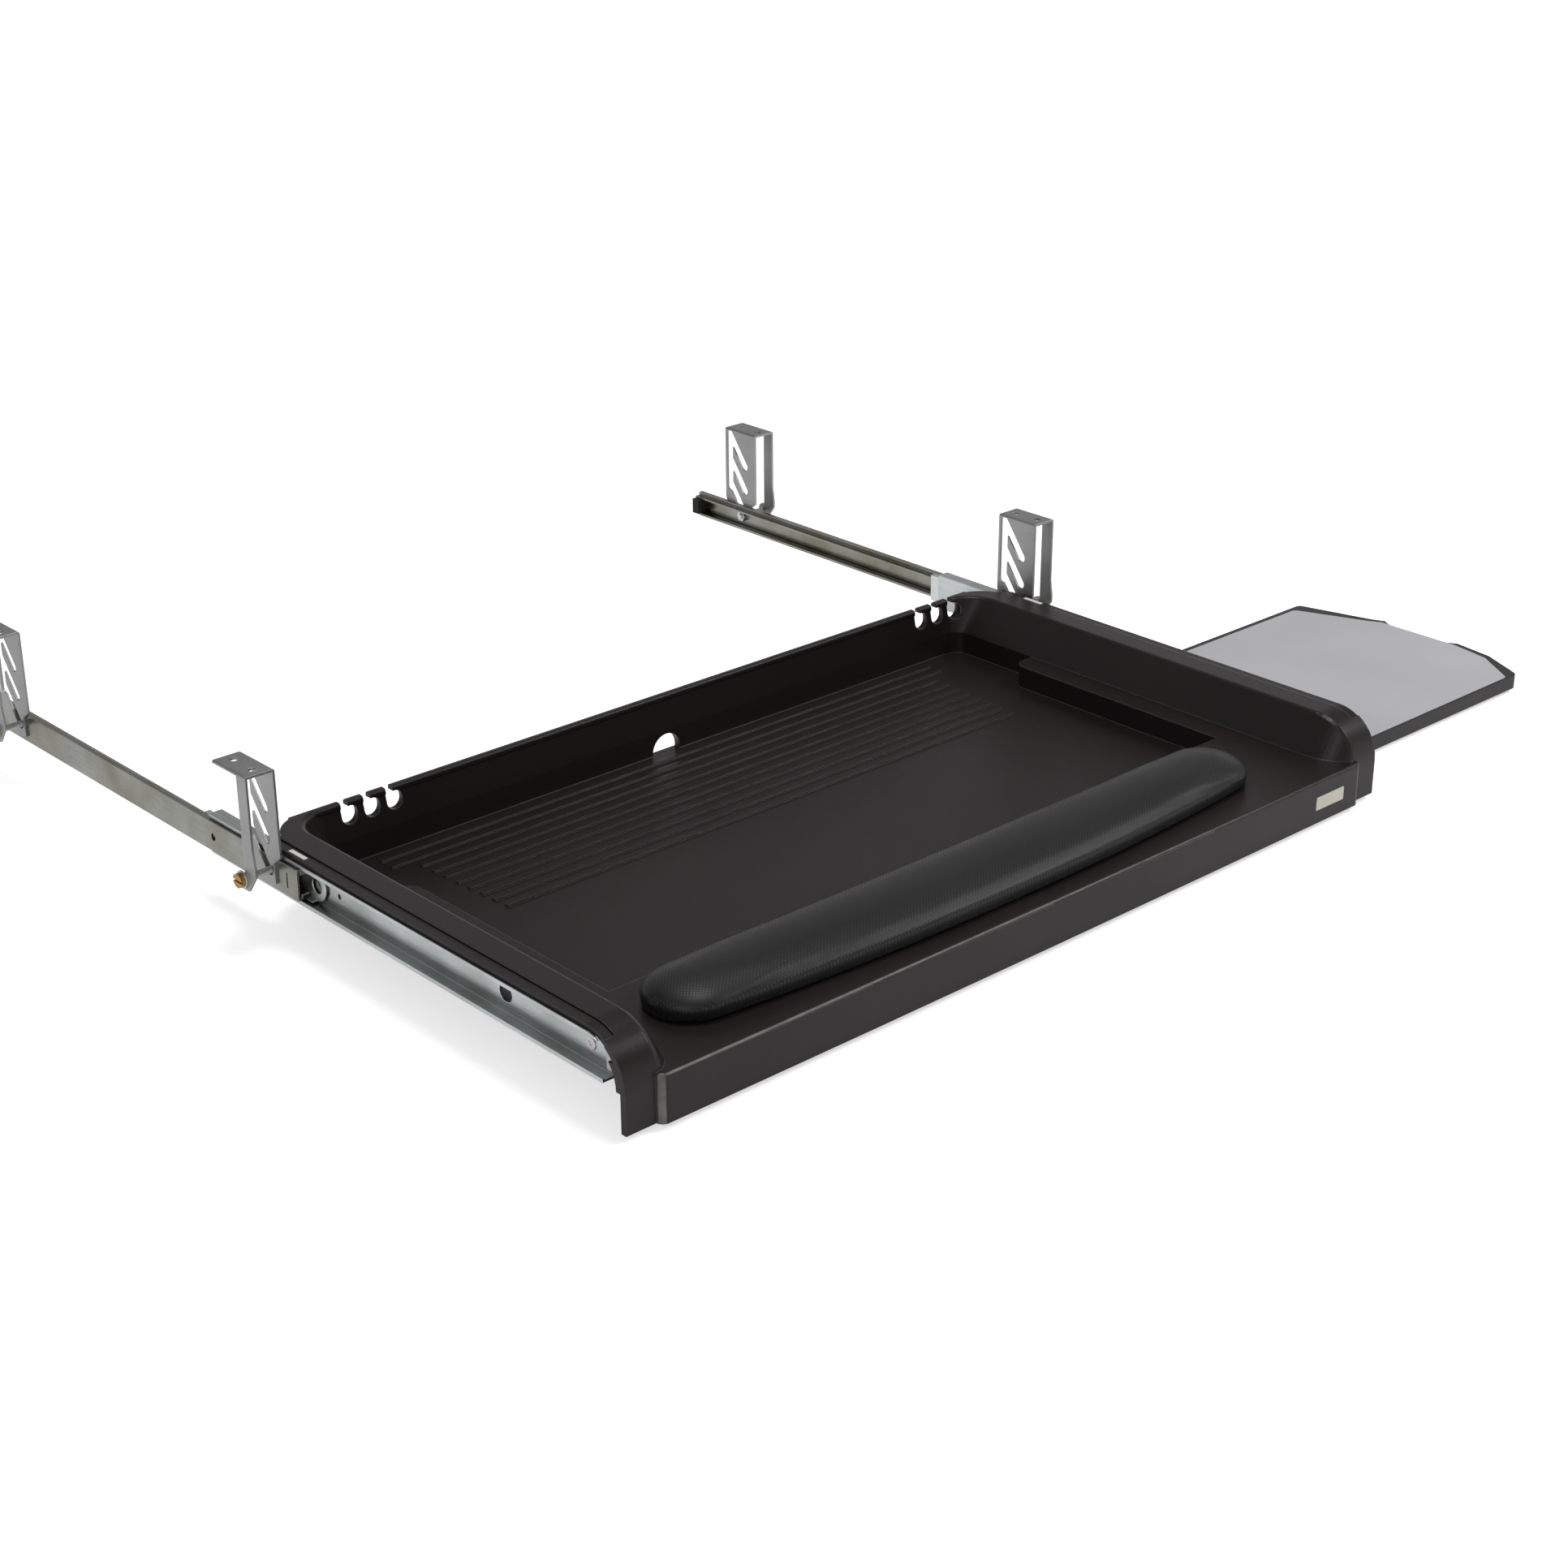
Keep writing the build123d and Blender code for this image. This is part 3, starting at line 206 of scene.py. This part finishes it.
# Brackets
# Four strips of bright zinc-plated steel, stamped and bent. Their webs lie against the
# desk, and their legs carry the slides.
relief_depth = 0.0002
patch_low, patch_high = 0.32, 0.68
noise_low, noise_high = 0.3, 0.7
steel_grains, steel_patches = 1400.0, 26.0
steel_edge_radius, steel_edge_gain = 0.0005, 3.0
steel_streaks = 20.0
steel_streak_tone = 0.5
steel_smoother, steel_rougher = 0.05, 0.07
steel_relief = 0.08


def new_group(name, inputs, outputs):
    """An empty shader node group, with its input and output nodes."""
    tree = bpy.data.node_groups.new(name, "ShaderNodeTree")
    for title, kind, value in inputs:
        socket = tree.interface.new_socket(
            title, in_out="INPUT", socket_type="NodeSocket" + kind
        )
        socket.default_value = value
    for title, kind in outputs:
        tree.interface.new_socket(title, in_out="OUTPUT", socket_type="NodeSocket" + kind)
    return tree, node(tree, "NodeGroupInput").outputs, node(tree, "NodeGroupOutput").inputs


def use_group(tree, group, inputs):
    """A group placed in a material, with its own values. Gives the group's outputs."""
    return node(tree, "ShaderNodeGroup", inputs, node_tree=group).outputs


def mix_colour(tree, factor, first, second):
    """A colour between two colours or links."""
    colours = {0: factor, 6: first, 7: second}
    return node(tree, "ShaderNodeMix", colours, data_type="RGBA").outputs[2]


def add_relief(tree, shader, height, strength, normal=None):
    """Fine relief in a shader's normal, on top of another normal where one is given."""
    relief = node(
        tree,
        "ShaderNodeBump",
        {"Height": height, "Strength": strength, "Distance": relief_depth},
    )
    if normal is not None:
        tree.links.new(normal, relief.inputs["Normal"])
    tree.links.new(relief.outputs[0], shader.inputs["Normal"])


# Uneven tone and a fine surface texture that plated and moulded surfaces share
grain_group, given, put = new_group(
    "surface grain",
    (("Grains per metre", "Float", 900.0), ("Patches per metre", "Float", 14.0)),
    (("Height", "Float"), ("Patch", "Float")),
)
place = place_on_piece(grain_group)
fine = node(
    grain_group,
    "ShaderNodeTexNoise",
    {"Vector": place, "Scale": given["Grains per metre"], "Detail": 2.0, "Roughness": 0.6},
)
grain_group.links.new(fine.outputs[0], put["Height"])
broad = node(
    grain_group,
    "ShaderNodeTexNoise",
    {"Vector": place, "Scale": given["Patches per metre"], "Detail": 3.0},
)
patch = spread(grain_group, broad.outputs[0], patch_low, patch_high)
grain_group.links.new(patch, put["Patch"])

# Soft edges: the normal turned over an edge, and a mask of where an edge is
edge_group, given, put = new_group(
    "soft edges",
    (("Radius", "Float", 0.0006), ("Gain", "Float", 4.0)),
    (("Normal", "Vector"), ("Edge", "Float")),
)
turned = node(edge_group, "ShaderNodeBevel", {"Radius": given["Radius"]}, samples=6)
straight = node(edge_group, "ShaderNodeNewGeometry").outputs["Normal"]
agree = node(
    edge_group,
    "ShaderNodeVectorMath",
    {0: turned.outputs[0], 1: straight},
    operation="DOT_PRODUCT",
)
differ = math_node(edge_group, "SUBTRACT", 1.0, agree.outputs["Value"])
edge = math_node(edge_group, "MULTIPLY", differ, given["Gain"], clamp=True)
edge_group.links.new(turned.outputs[0], put["Normal"])
edge_group.links.new(edge, put["Edge"])


def steel_finish(name, light, dark, roughness, edge_colour, streak=(30.0, 4.0, 30.0)):
    """Sheet steel: drawn streaks, cloudy plating, and edges painted lighter, part wear and part
    painted highlight.
    """
    material, tree, shader = new_material(name)
    grain = use_group(
        tree,
        grain_group,
        {"Grains per metre": steel_grains, "Patches per metre": steel_patches},
    )
    edges = use_group(tree, edge_group, {"Radius": steel_edge_radius, "Gain": steel_edge_gain})
    stretched = node(
        tree, "ShaderNodeMapping", {"Vector": place_on_piece(tree), "Scale": streak}
    )
    drawn = node(
        tree,
        "ShaderNodeTexNoise",
        {"Vector": stretched.outputs[0], "Scale": steel_streaks, "Detail": 3.0},
    ).outputs[0]
    streaks = spread(tree, drawn, noise_low, noise_high, steel_streak_tone, 1.0)
    tone = math_node(tree, "MULTIPLY", grain["Patch"], streaks)
    body = mix_colour(tree, tone, dark, light)
    # Edges get a lighter colour: part wear, part painted highlight.
    edge_wear_and_highlight = mix_colour(tree, edges["Edge"], body, edge_colour)
    tree.links.new(edge_wear_and_highlight, shader.inputs["Base Color"])
    rough = spread(
        tree, drawn, noise_low, noise_high, roughness - steel_smoother, roughness + steel_rougher
    )
    tree.links.new(rough, shader.inputs["Roughness"])
    shader.inputs["Metallic"].default_value = 1.0
    add_relief(tree, shader, grain["Height"], steel_relief, edges["Normal"])
    return material


def dress(material, *names):
    """Gives CAD nodes their finish."""
    for name in names:
        for slot in nodes[name].material_slots:
            slot.material = material


bracket_zinc = steel_finish(
    "bright zinc plate",
    light=(0.38, 0.38, 0.385, 1),
    dark=(0.30, 0.30, 0.30, 1),
    roughness=0.42,
    edge_colour=(0.55, 0.55, 0.54, 1),
)
dress(
    bracket_zinc,
    "bracket_front_left",
    "bracket_front_right",
    "bracket_rear_left",
    "bracket_rear_right",
)


# Bolts, washers and nuts of the brackets
# Slotted bolts with yellow passivated heads and bright threaded shanks, and zinc-plated
# washers and nuts.
bolt_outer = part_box("bracket_bolts")[1].x
bolt_head = 0.0036
bolt_head_fade = 0.0001
thread_pitch = 0.0007
thread_relief = 0.8
shank_colour = (0.60, 0.61, 0.60, 1)
bolt_yellow = steel_finish(
    "yellow passivated steel",
    light=(0.50, 0.31, 0.11, 1),
    dark=(0.30, 0.17, 0.06, 1),
    roughness=0.34,
    edge_colour=(0.80, 0.60, 0.34, 1),
)
tree = bolt_yellow.node_tree
shader = tree.nodes["Principled BSDF"]
across = parts_of(tree, place_on_piece(tree))["X"]
under_head = bolt_outer - bolt_head
from_middle = math_node(tree, "ABSOLUTE", across)
shank = spread(tree, from_middle, under_head, under_head + bolt_head_fade, 1.0, 0.0)
head_colour = shader.inputs["Base Color"].links[0].from_socket
bolt_colour = mix_colour(tree, shank, head_colour, shank_colour)
tree.links.new(bolt_colour, shader.inputs["Base Color"])
turns = math_node(tree, "SINE", math_node(tree, "MULTIPLY", across, math.tau / thread_pitch))
thread = math_node(tree, "MULTIPLY", turns, shank)
plated_normal = shader.inputs["Normal"].links[0].from_socket
add_relief(tree, shader, thread, thread_relief, plated_normal)
dress(bolt_yellow, "bracket_bolts")
bright_screw = steel_finish(
    "bright screw steel",
    light=(0.62, 0.62, 0.61, 1),
    dark=(0.42, 0.42, 0.41, 1),
    roughness=0.30,
    edge_colour=(0.85, 0.85, 0.84, 1),
)
dress(bright_screw, "bracket_washers", "bracket_nuts", "slide_screws", "platform_rail_screws")


# Slides
# Roll-formed zinc-plated steel members, the drawer's screwed to the tray's skirt and the
# cabinet's bolted to the brackets, with caged balls, nylon tabs and rubber bumpers.
rolled_streak = (60.0, 1.2, 60.0)
moulded_patches = 9.0
moulded_edge_radius, moulded_edge_gain = 0.0009, 3.2
moulded_smoother, moulded_rougher = 0.04, 0.05
moulded_edge_smoother = 0.08
drawer_zinc = steel_finish(
    "bright roll-formed zinc steel",
    light=(0.60, 0.64, 0.65, 1),
    dark=(0.42, 0.44, 0.43, 1),
    roughness=0.30,
    edge_colour=(0.80, 0.82, 0.80, 1),
    streak=rolled_streak,
)
dress(drawer_zinc, "drawer_member_left", "drawer_member_right")
# The cabinet members get a darker, olive-tinted zinc than the drawer members.
cabinet_zinc = steel_finish(
    "dark olive roll-formed zinc steel",
    light=(0.36, 0.365, 0.35, 1),
    dark=(0.20, 0.195, 0.155, 1),
    roughness=0.27,
    edge_colour=(0.62, 0.60, 0.52, 1),
    streak=rolled_streak,
)
dress(cabinet_zinc, "cabinet_member_left", "cabinet_member_right")
# The cage's colour is paler than the other plating, partly as a painted highlight.
cage_zinc = steel_finish(
    "cage steel",
    light=(0.74, 0.77, 0.77, 1),
    dark=(0.52, 0.54, 0.53, 1),
    roughness=0.36,
    edge_colour=(0.92, 0.94, 0.94, 1),
)
dress(cage_zinc, "ball_cage_left", "ball_cage_right")
ball_steel = steel_finish(
    "polished ball steel",
    light=(0.62, 0.62, 0.62, 1),
    dark=(0.52, 0.52, 0.52, 1),
    roughness=0.12,
    edge_colour=(0.62, 0.62, 0.62, 1),
)
dress(ball_steel, "slide_balls_left", "slide_balls_right")


def moulded_finish(
    name, light, dark, roughness, edge_colour, specular=0.35, grains=1500.0, depth=0.25
):
    """Moulded plastic: fine spark-eroded grain, cloudy tone, and smoother edges painted lighter,
    part wear and part painted highlight.
    """
    material, tree, shader = new_material(name)
    grain = use_group(
        tree, grain_group, {"Grains per metre": grains, "Patches per metre": moulded_patches}
    )
    edges = use_group(
        tree, edge_group, {"Radius": moulded_edge_radius, "Gain": moulded_edge_gain}
    )
    body = mix_colour(tree, grain["Patch"], dark, light)
    # Edges get a lighter colour: part wear, part painted highlight.
    edge_wear_and_highlight = mix_colour(tree, edges["Edge"], body, edge_colour)
    tree.links.new(edge_wear_and_highlight, shader.inputs["Base Color"])
    rough = spread(
        tree,
        grain["Height"],
        noise_low,
        noise_high,
        roughness - moulded_smoother,
        roughness + moulded_rougher,
    )
    polish = math_node(tree, "MULTIPLY", edges["Edge"], moulded_edge_smoother)
    tree.links.new(math_node(tree, "SUBTRACT", rough, polish), shader.inputs["Roughness"])
    shader.inputs["Specular IOR Level"].default_value = specular
    add_relief(tree, shader, grain["Height"], depth, edges["Normal"])
    return material


white_nylon = moulded_finish(
    "white nylon",
    light=(0.78, 0.78, 0.77, 1),
    dark=(0.68, 0.68, 0.66, 1),
    roughness=0.45,
    edge_colour=(0.85, 0.85, 0.84, 1),
    specular=0.5,
)
dress(white_nylon, "slide_tabs", "platform_stops")
bumper_rubber = moulded_finish(
    "black rubber",
    light=(0.025, 0.024, 0.024, 1),
    dark=(0.014, 0.014, 0.014, 1),
    roughness=0.68,
    edge_colour=(0.05, 0.05, 0.05, 1),
    specular=0.3,
)
dress(bumper_rubber, "slide_bumpers")


# Tray
# One moulding in black high-impact plastic with a fine grain all over. Its edges, as on its
# rims and horns, are painted lighter, part wear and part painted highlight, and painted
# highlight lines run along the fascia's top edge and down its ends.
fascia_half = 0.2645
fascia_bow = 0.001
fascia_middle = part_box("tray_shell")[0].y
deck_level = -0.0705
above_deck, beyond_fascia = 0.0002, 0.0004
top_line_inner, top_line_outer = 0.0008, 0.0014
end_line_inner, end_line_outer = 0.0026, 0.0036
painted_highlight_colour = (0.23, 0.212, 0.208, 1)
highlight_break_scale = 70.0
highlight_noise_low, highlight_noise_high, highlight_noise_least = 0.30, 0.62, 0.45
highlight_fade_from, highlight_fade_to, highlight_fade_least = -0.22, 0.20, 0.12


def black_moulding(name):
    """The grained black plastic of the tray and of the mouse platform."""
    return moulded_finish(
        name,
        light=(0.0160, 0.0118, 0.0122, 1),
        dark=(0.0118, 0.0084, 0.0088, 1),
        roughness=0.34,
        edge_colour=(0.105, 0.094, 0.093, 1),
        specular=0.26,
    )


def distance_of(tree, first, second):
    """How far a point is from a line, from its two offsets."""
    offsets = node(tree, "ShaderNodeCombineXYZ", {"X": first, "Y": second})
    return length_of(tree, offsets.outputs[0])


tray_black = black_moulding("grained black plastic")
tree = tray_black.node_tree
shader = tree.nodes["Principled BSDF"]
place = parts_of(tree, place_on_piece(tree))
outward = math_node(tree, "ABSOLUTE", place["X"])
from_centre = math_node(tree, "DIVIDE", outward, fascia_half)
squared = math_node(tree, "MULTIPLY", from_centre, from_centre)
bow = math_node(tree, "MULTIPLY", squared, fascia_bow)
behind_middle = math_node(tree, "SUBTRACT", place["Y"], fascia_middle)
behind = math_node(tree, "SUBTRACT", behind_middle, bow)
above = math_node(tree, "SUBTRACT", place["Z"], deck_level)
beyond = math_node(tree, "SUBTRACT", outward, fascia_half)
from_top, from_end = distance_of(tree, behind, above), distance_of(tree, beyond, behind)
# Painted highlight: bright lines along the fascia's top edge and down its two ends, broken up by
# noise and fading towards the right.
top_line = spread(tree, from_top, top_line_inner, top_line_outer, 1.0, 0.0)
end_line = spread(tree, from_end, end_line_inner, end_line_outer, 1.0, 0.0)
below = math_node(tree, "LESS_THAN", above, above_deck)
inside = math_node(tree, "LESS_THAN", beyond, beyond_fascia)
line = math_node(tree, "MAXIMUM", top_line, math_node(tree, "MULTIPLY", end_line, below))
uneven = node(
    tree,
    "ShaderNodeTexNoise",
    {"Vector": place_on_piece(tree), "Scale": highlight_break_scale, "Detail": 3.0},
)
painted_highlight = math_node(
    tree,
    "MULTIPLY",
    math_node(tree, "MULTIPLY", line, inside),
    spread(tree, uneven.outputs[0], highlight_noise_low, highlight_noise_high, highlight_noise_least, 1.0),
)
fading = spread(tree, place["X"], highlight_fade_from, highlight_fade_to, 1.0, highlight_fade_least)
painted_highlight = math_node(tree, "MULTIPLY", painted_highlight, fading)
body = shader.inputs["Base Color"].links[0].from_socket
tree.links.new(mix_colour(tree, painted_highlight, body, painted_highlight_colour), shader.inputs["Base Color"])
dress(tray_black, "tray_shell")


# Label plate
# A bare satin plate bonded into its pocket on the fascia.
plate_finish = moulded_finish(
    "bare satin plate",
    light=(0.72, 0.70, 0.60, 1),
    dark=(0.62, 0.60, 0.51, 1),
    roughness=0.35,
    edge_colour=(0.80, 0.78, 0.70, 1),
    specular=0.5,
)
dress(plate_finish, "label_plate")


# Wrist rest
# A plate under a gel-filled cushion, covered in a fine dotted knit that is drawn tight
# round it and glued in under its edge.
rest_base_black = moulded_finish(
    "black base plate",
    light=(0.016, 0.015, 0.015, 1),
    dark=(0.012, 0.011, 0.011, 1),
    roughness=0.5,
    edge_colour=(0.04, 0.04, 0.04, 1),
)
dress(rest_base_black, "wrist_rest_base")

rest_low, rest_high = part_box("wrist_rest_pad")
rest_middle = (rest_low.x + rest_high.x) / 2
rest_half = (rest_high.x - rest_low.x) / 2
rest_bottom, rest_top = rest_low.z, rest_high.z
rest_front, rest_rear = rest_low.y, rest_high.y
# How far the front edge falls back towards the ends, and the power of that curve
rest_front_rise = 0.013
rest_bow_power = 2.4
# How far in the ends start to round off and to drop, and how much is left at their tips
rest_end_depth = 0.022
rest_end_drop = 0.027
rest_end_share = 0.10
rest_drop_share = 0.36
# The cover's turn-in round the base plate: its depth, its flat foot and its lip
rest_lip = 0.0019
rest_lip_reach = 0.0011
rest_lip_start, rest_lip_round = 0.15, 0.3
rest_base_inset = 0.0031
rest_least_foot = 0.3
rest_foot_steps = 5
rest_stations = 240
rest_arc_steps = 34
# Share of the height that stands straight up, and the power that squares the shoulder
rest_front_section = (0.40, 1.0)
rest_rear_section = (0.38, 0.95)
# Less height for the filling to make up, and more width for the smoothing to take back
rest_slack = 0.0006
rest_spare = 0.0005
rest_glue = 0.0001
rest_pressure = 4.0
rest_cap = 0.0012
rest_frames = 20
rest_smoothing = 8
rest_smoothing_factor = 0.5


def rest_outline(share):
    """Middle, half width and height of the cushion at a share of its half length."""
    from_end = (1 - abs(share)) * rest_half
    rounded, dropped = (
        math.sqrt(max(0.0, 1 - (1 - min(from_end / depth, 1)) ** 2))
        for depth in (rest_end_depth, rest_end_drop)
    )
    front = rest_front + rest_front_rise * abs(share) ** rest_bow_power
    half = (rest_rear - front) / 2 * (rest_end_share + (1 - rest_end_share) * rounded)
    height = (rest_top - rest_bottom) * (rest_drop_share + (1 - rest_drop_share) * dropped)
    return (front + rest_rear) / 2, half, height


points, faces = [], []
for index in range(rest_stations + 1):
    share = math.sin((index / rest_stations - 0.5) * math.pi)
    middle, half, height = rest_outline(share)
    half += rest_spare * min(1, half / rest_end_depth)
    foot = max(half - rest_base_inset, half * rest_least_foot)
    lip = [
        (foot + (half - foot) * rest_lip_start, -rest_lip),
        (half - (half - foot) * rest_lip_round, -rest_lip),
    ]
    outline = [
        (foot * (step / rest_foot_steps - 1), 0.0) for step in range(2 * rest_foot_steps + 1)
    ]
    outline += lip
    for step in range(rest_arc_steps + 1):
        angle = math.pi * step / rest_arc_steps
        across, up = math.cos(angle), abs(math.sin(angle))
        side, roundness = rest_rear_section if across > 0 else rest_front_section
        outline.append((
            math.copysign(half * abs(across) ** roundness, across),
            (height - rest_slack) * (side + (1 - side) * up**roundness),
        ))
    outline += [(-across, up) for across, up in reversed(lip)]
    along = rest_middle + share * (rest_half + rest_spare)
    points += [(along, middle + across, rest_bottom + up) for across, up in outline]
ring = len(outline)
for index in range(rest_stations):
    for corner in range(ring):
        following = (corner + 1) % ring
        faces.append((
            index * ring + corner,
            index * ring + following,
            (index + 1) * ring + following,
            (index + 1) * ring + corner,
        ))
faces.append(tuple(range(ring))[::-1])
faces.append(tuple(rest_stations * ring + corner for corner in range(ring)))
pad = mesh_object("wrist_rest_cushion", points, faces)


def made_plain(piece):
    """Turns a piece with its modifiers into a plain mesh."""
    graph = bpy.context.evaluated_depsgraph_get()
    made = bpy.data.meshes.new_from_object(piece.evaluated_get(graph))
    piece.modifiers.clear()
    piece.data = made


def puffed(piece, glued):
    """The cushion filled by cloth simulation, held where it is glued and capped in its swell."""
    starts = [vertex.co.copy() for vertex in piece.data.vertices]
    foot = piece.vertex_groups.new(name="glued foot")
    foot.add([index for index, place in enumerate(starts) if place.z < glued], 1.0, "REPLACE")
    cloth = piece.modifiers.new("fill", "CLOTH")
    cloth.settings.use_pressure = True
    cloth.settings.uniform_pressure_force = rest_pressure
    cloth.settings.vertex_group_mass = foot.name
    cloth.settings.effector_weights.gravity = 0.0
    cloth.point_cache.frame_start, cloth.point_cache.frame_end = 1, rest_frames
    for moment in range(1, rest_frames + 1):
        bpy.context.scene.frame_set(moment)
    made_plain(piece)
    for vertex, start in zip(piece.data.vertices, starts):
        swell = vertex.co - start
        if swell.length > rest_cap:
            swell = swell.normalized() * rest_cap
        vertex.co = start + swell
    piece.vertex_groups.clear()
    bpy.context.scene.frame_set(1)
    calm = piece.modifiers.new("even skin", "SMOOTH")
    calm.factor, calm.iterations = rest_smoothing_factor, rest_smoothing


puffed(pad, rest_bottom + rest_glue)
smooth = pad.modifiers.new("finer skin", "SUBSURF")
smooth.levels = smooth.render_levels = 1
made_plain(pad)
for vertex in pad.data.vertices:
    vertex.co.z = max(vertex.co.z, rest_bottom - rest_lip_reach)

# The knit: a square grid of small paler, smoother dots, turned by 45 degrees
knit_grains, knit_patches = 2400.0, 16.0
knit_dots_per_metre = 640.0
knit_turn = math.radians(45)
knit_scale = (1.0, 1.0, 0.25)
dot_inner, dot_outer = 0.22, 0.44
knit_dark = (0.0100, 0.0092, 0.0098, 1)
knit_light = (0.0138, 0.0124, 0.0133, 1)
dot_colour = (0.028, 0.026, 0.0275, 1)
smooth_within, rough_beyond = 0.2, 0.5
dot_roughness, ground_roughness = 0.34, 0.46
knit_specular = 0.28
knit_relief = 0.25
pad_fabric, tree, shader = new_material("dotted knit")
grain = use_group(
    tree, grain_group, {"Grains per metre": knit_grains, "Patches per metre": knit_patches}
)
flat_place = node(
    tree,
    "ShaderNodeMapping",
    {"Vector": place_on_piece(tree), "Rotation": (0, 0, knit_turn), "Scale": knit_scale},
)
from_dot = node(
    tree,
    "ShaderNodeTexVoronoi",
    {"Vector": flat_place.outputs[0], "Scale": knit_dots_per_metre, "Randomness": 0.0},
).outputs["Distance"]
dot = spread(tree, from_dot, dot_inner, dot_outer, 1.0, 0.0)
ground = mix_colour(tree, grain["Patch"], knit_dark, knit_light)
tree.links.new(mix_colour(tree, dot, ground, dot_colour), shader.inputs["Base Color"])
rough = spread(
    tree, from_dot, smooth_within, rough_beyond, dot_roughness, ground_roughness
)
tree.links.new(rough, shader.inputs["Roughness"])
shader.inputs["Specular IOR Level"].default_value = knit_specular
add_relief(tree, shader, dot, knit_relief)
pad.data.materials.append(pad_fabric)
for face in pad.data.polygons:
    face.use_smooth = True
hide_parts("wrist_rest_pad")
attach(pad, "tray")


# Rails of the mouse platform
# Pressed steel rails with a black coating, screwed up under the tray behind its fascia.
# Their screws and stops got their finishes with the bolts and the slides.
rail_coat = moulded_finish(
    "black coated rail steel",
    light=(0.022, 0.021, 0.021, 1),
    dark=(0.015, 0.0145, 0.0145, 1),
    roughness=0.42,
    edge_colour=(0.075, 0.072, 0.070, 1),
    specular=0.45,
    grains=700.0,
    depth=0.35,
)
dress(rail_coat, "platform_rail_front", "platform_rail_rear")


# Mouse platform
# A shallow black moulding in the tray's plastic, which slides out from under the tray
# on its two ears.
dress(black_moulding("platform plastic"), "mouse_platform")


# Mouse mat
# A thin grey mat with a fine woven face, let into the platform.
mat_threads = 1250.0
mat_grains, mat_patches = 1800.0, 10.0
mat_dark, mat_light = (0.455, 0.455, 0.475, 1), (0.51, 0.51, 0.53, 1)
thread_dark, thread_light = (0.39, 0.39, 0.405, 1), (0.58, 0.58, 0.60, 1)
thread_share = 0.35
valley_roughness, thread_roughness = 0.82, 0.66
mat_specular = 0.3
mat_grain_height = 0.6
mat_relief = 0.3
mat_material, tree, shader = new_material("grey mat weave")
grain = use_group(
    tree, grain_group, {"Grains per metre": mat_grains, "Patches per metre": mat_patches}
)
place = parts_of(tree, place_on_piece(tree))
warp, weft = (
    math_node(tree, "SINE", math_node(tree, "MULTIPLY", place[axis], mat_threads * math.tau))
    for axis in ("X", "Y")
)
weave = spread(tree, math_node(tree, "MULTIPLY", warp, weft), -1.0, 1.0)
mat_body = mix_colour(tree, grain["Patch"], mat_dark, mat_light)
mat_thread = mix_colour(tree, weave, thread_dark, thread_light)
mat_colour = mix_colour(tree, thread_share, mat_body, mat_thread)
tree.links.new(mat_colour, shader.inputs["Base Color"])
rough = spread(tree, weave, 0.0, 1.0, valley_roughness, thread_roughness)
tree.links.new(rough, shader.inputs["Roughness"])
shader.inputs["Specular IOR Level"].default_value = mat_specular
coarse = math_node(tree, "MULTIPLY", grain["Height"], mat_grain_height)
add_relief(tree, shader, math_node(tree, "ADD", weave, coarse), mat_relief)
dress(mat_material, "mouse_mat")
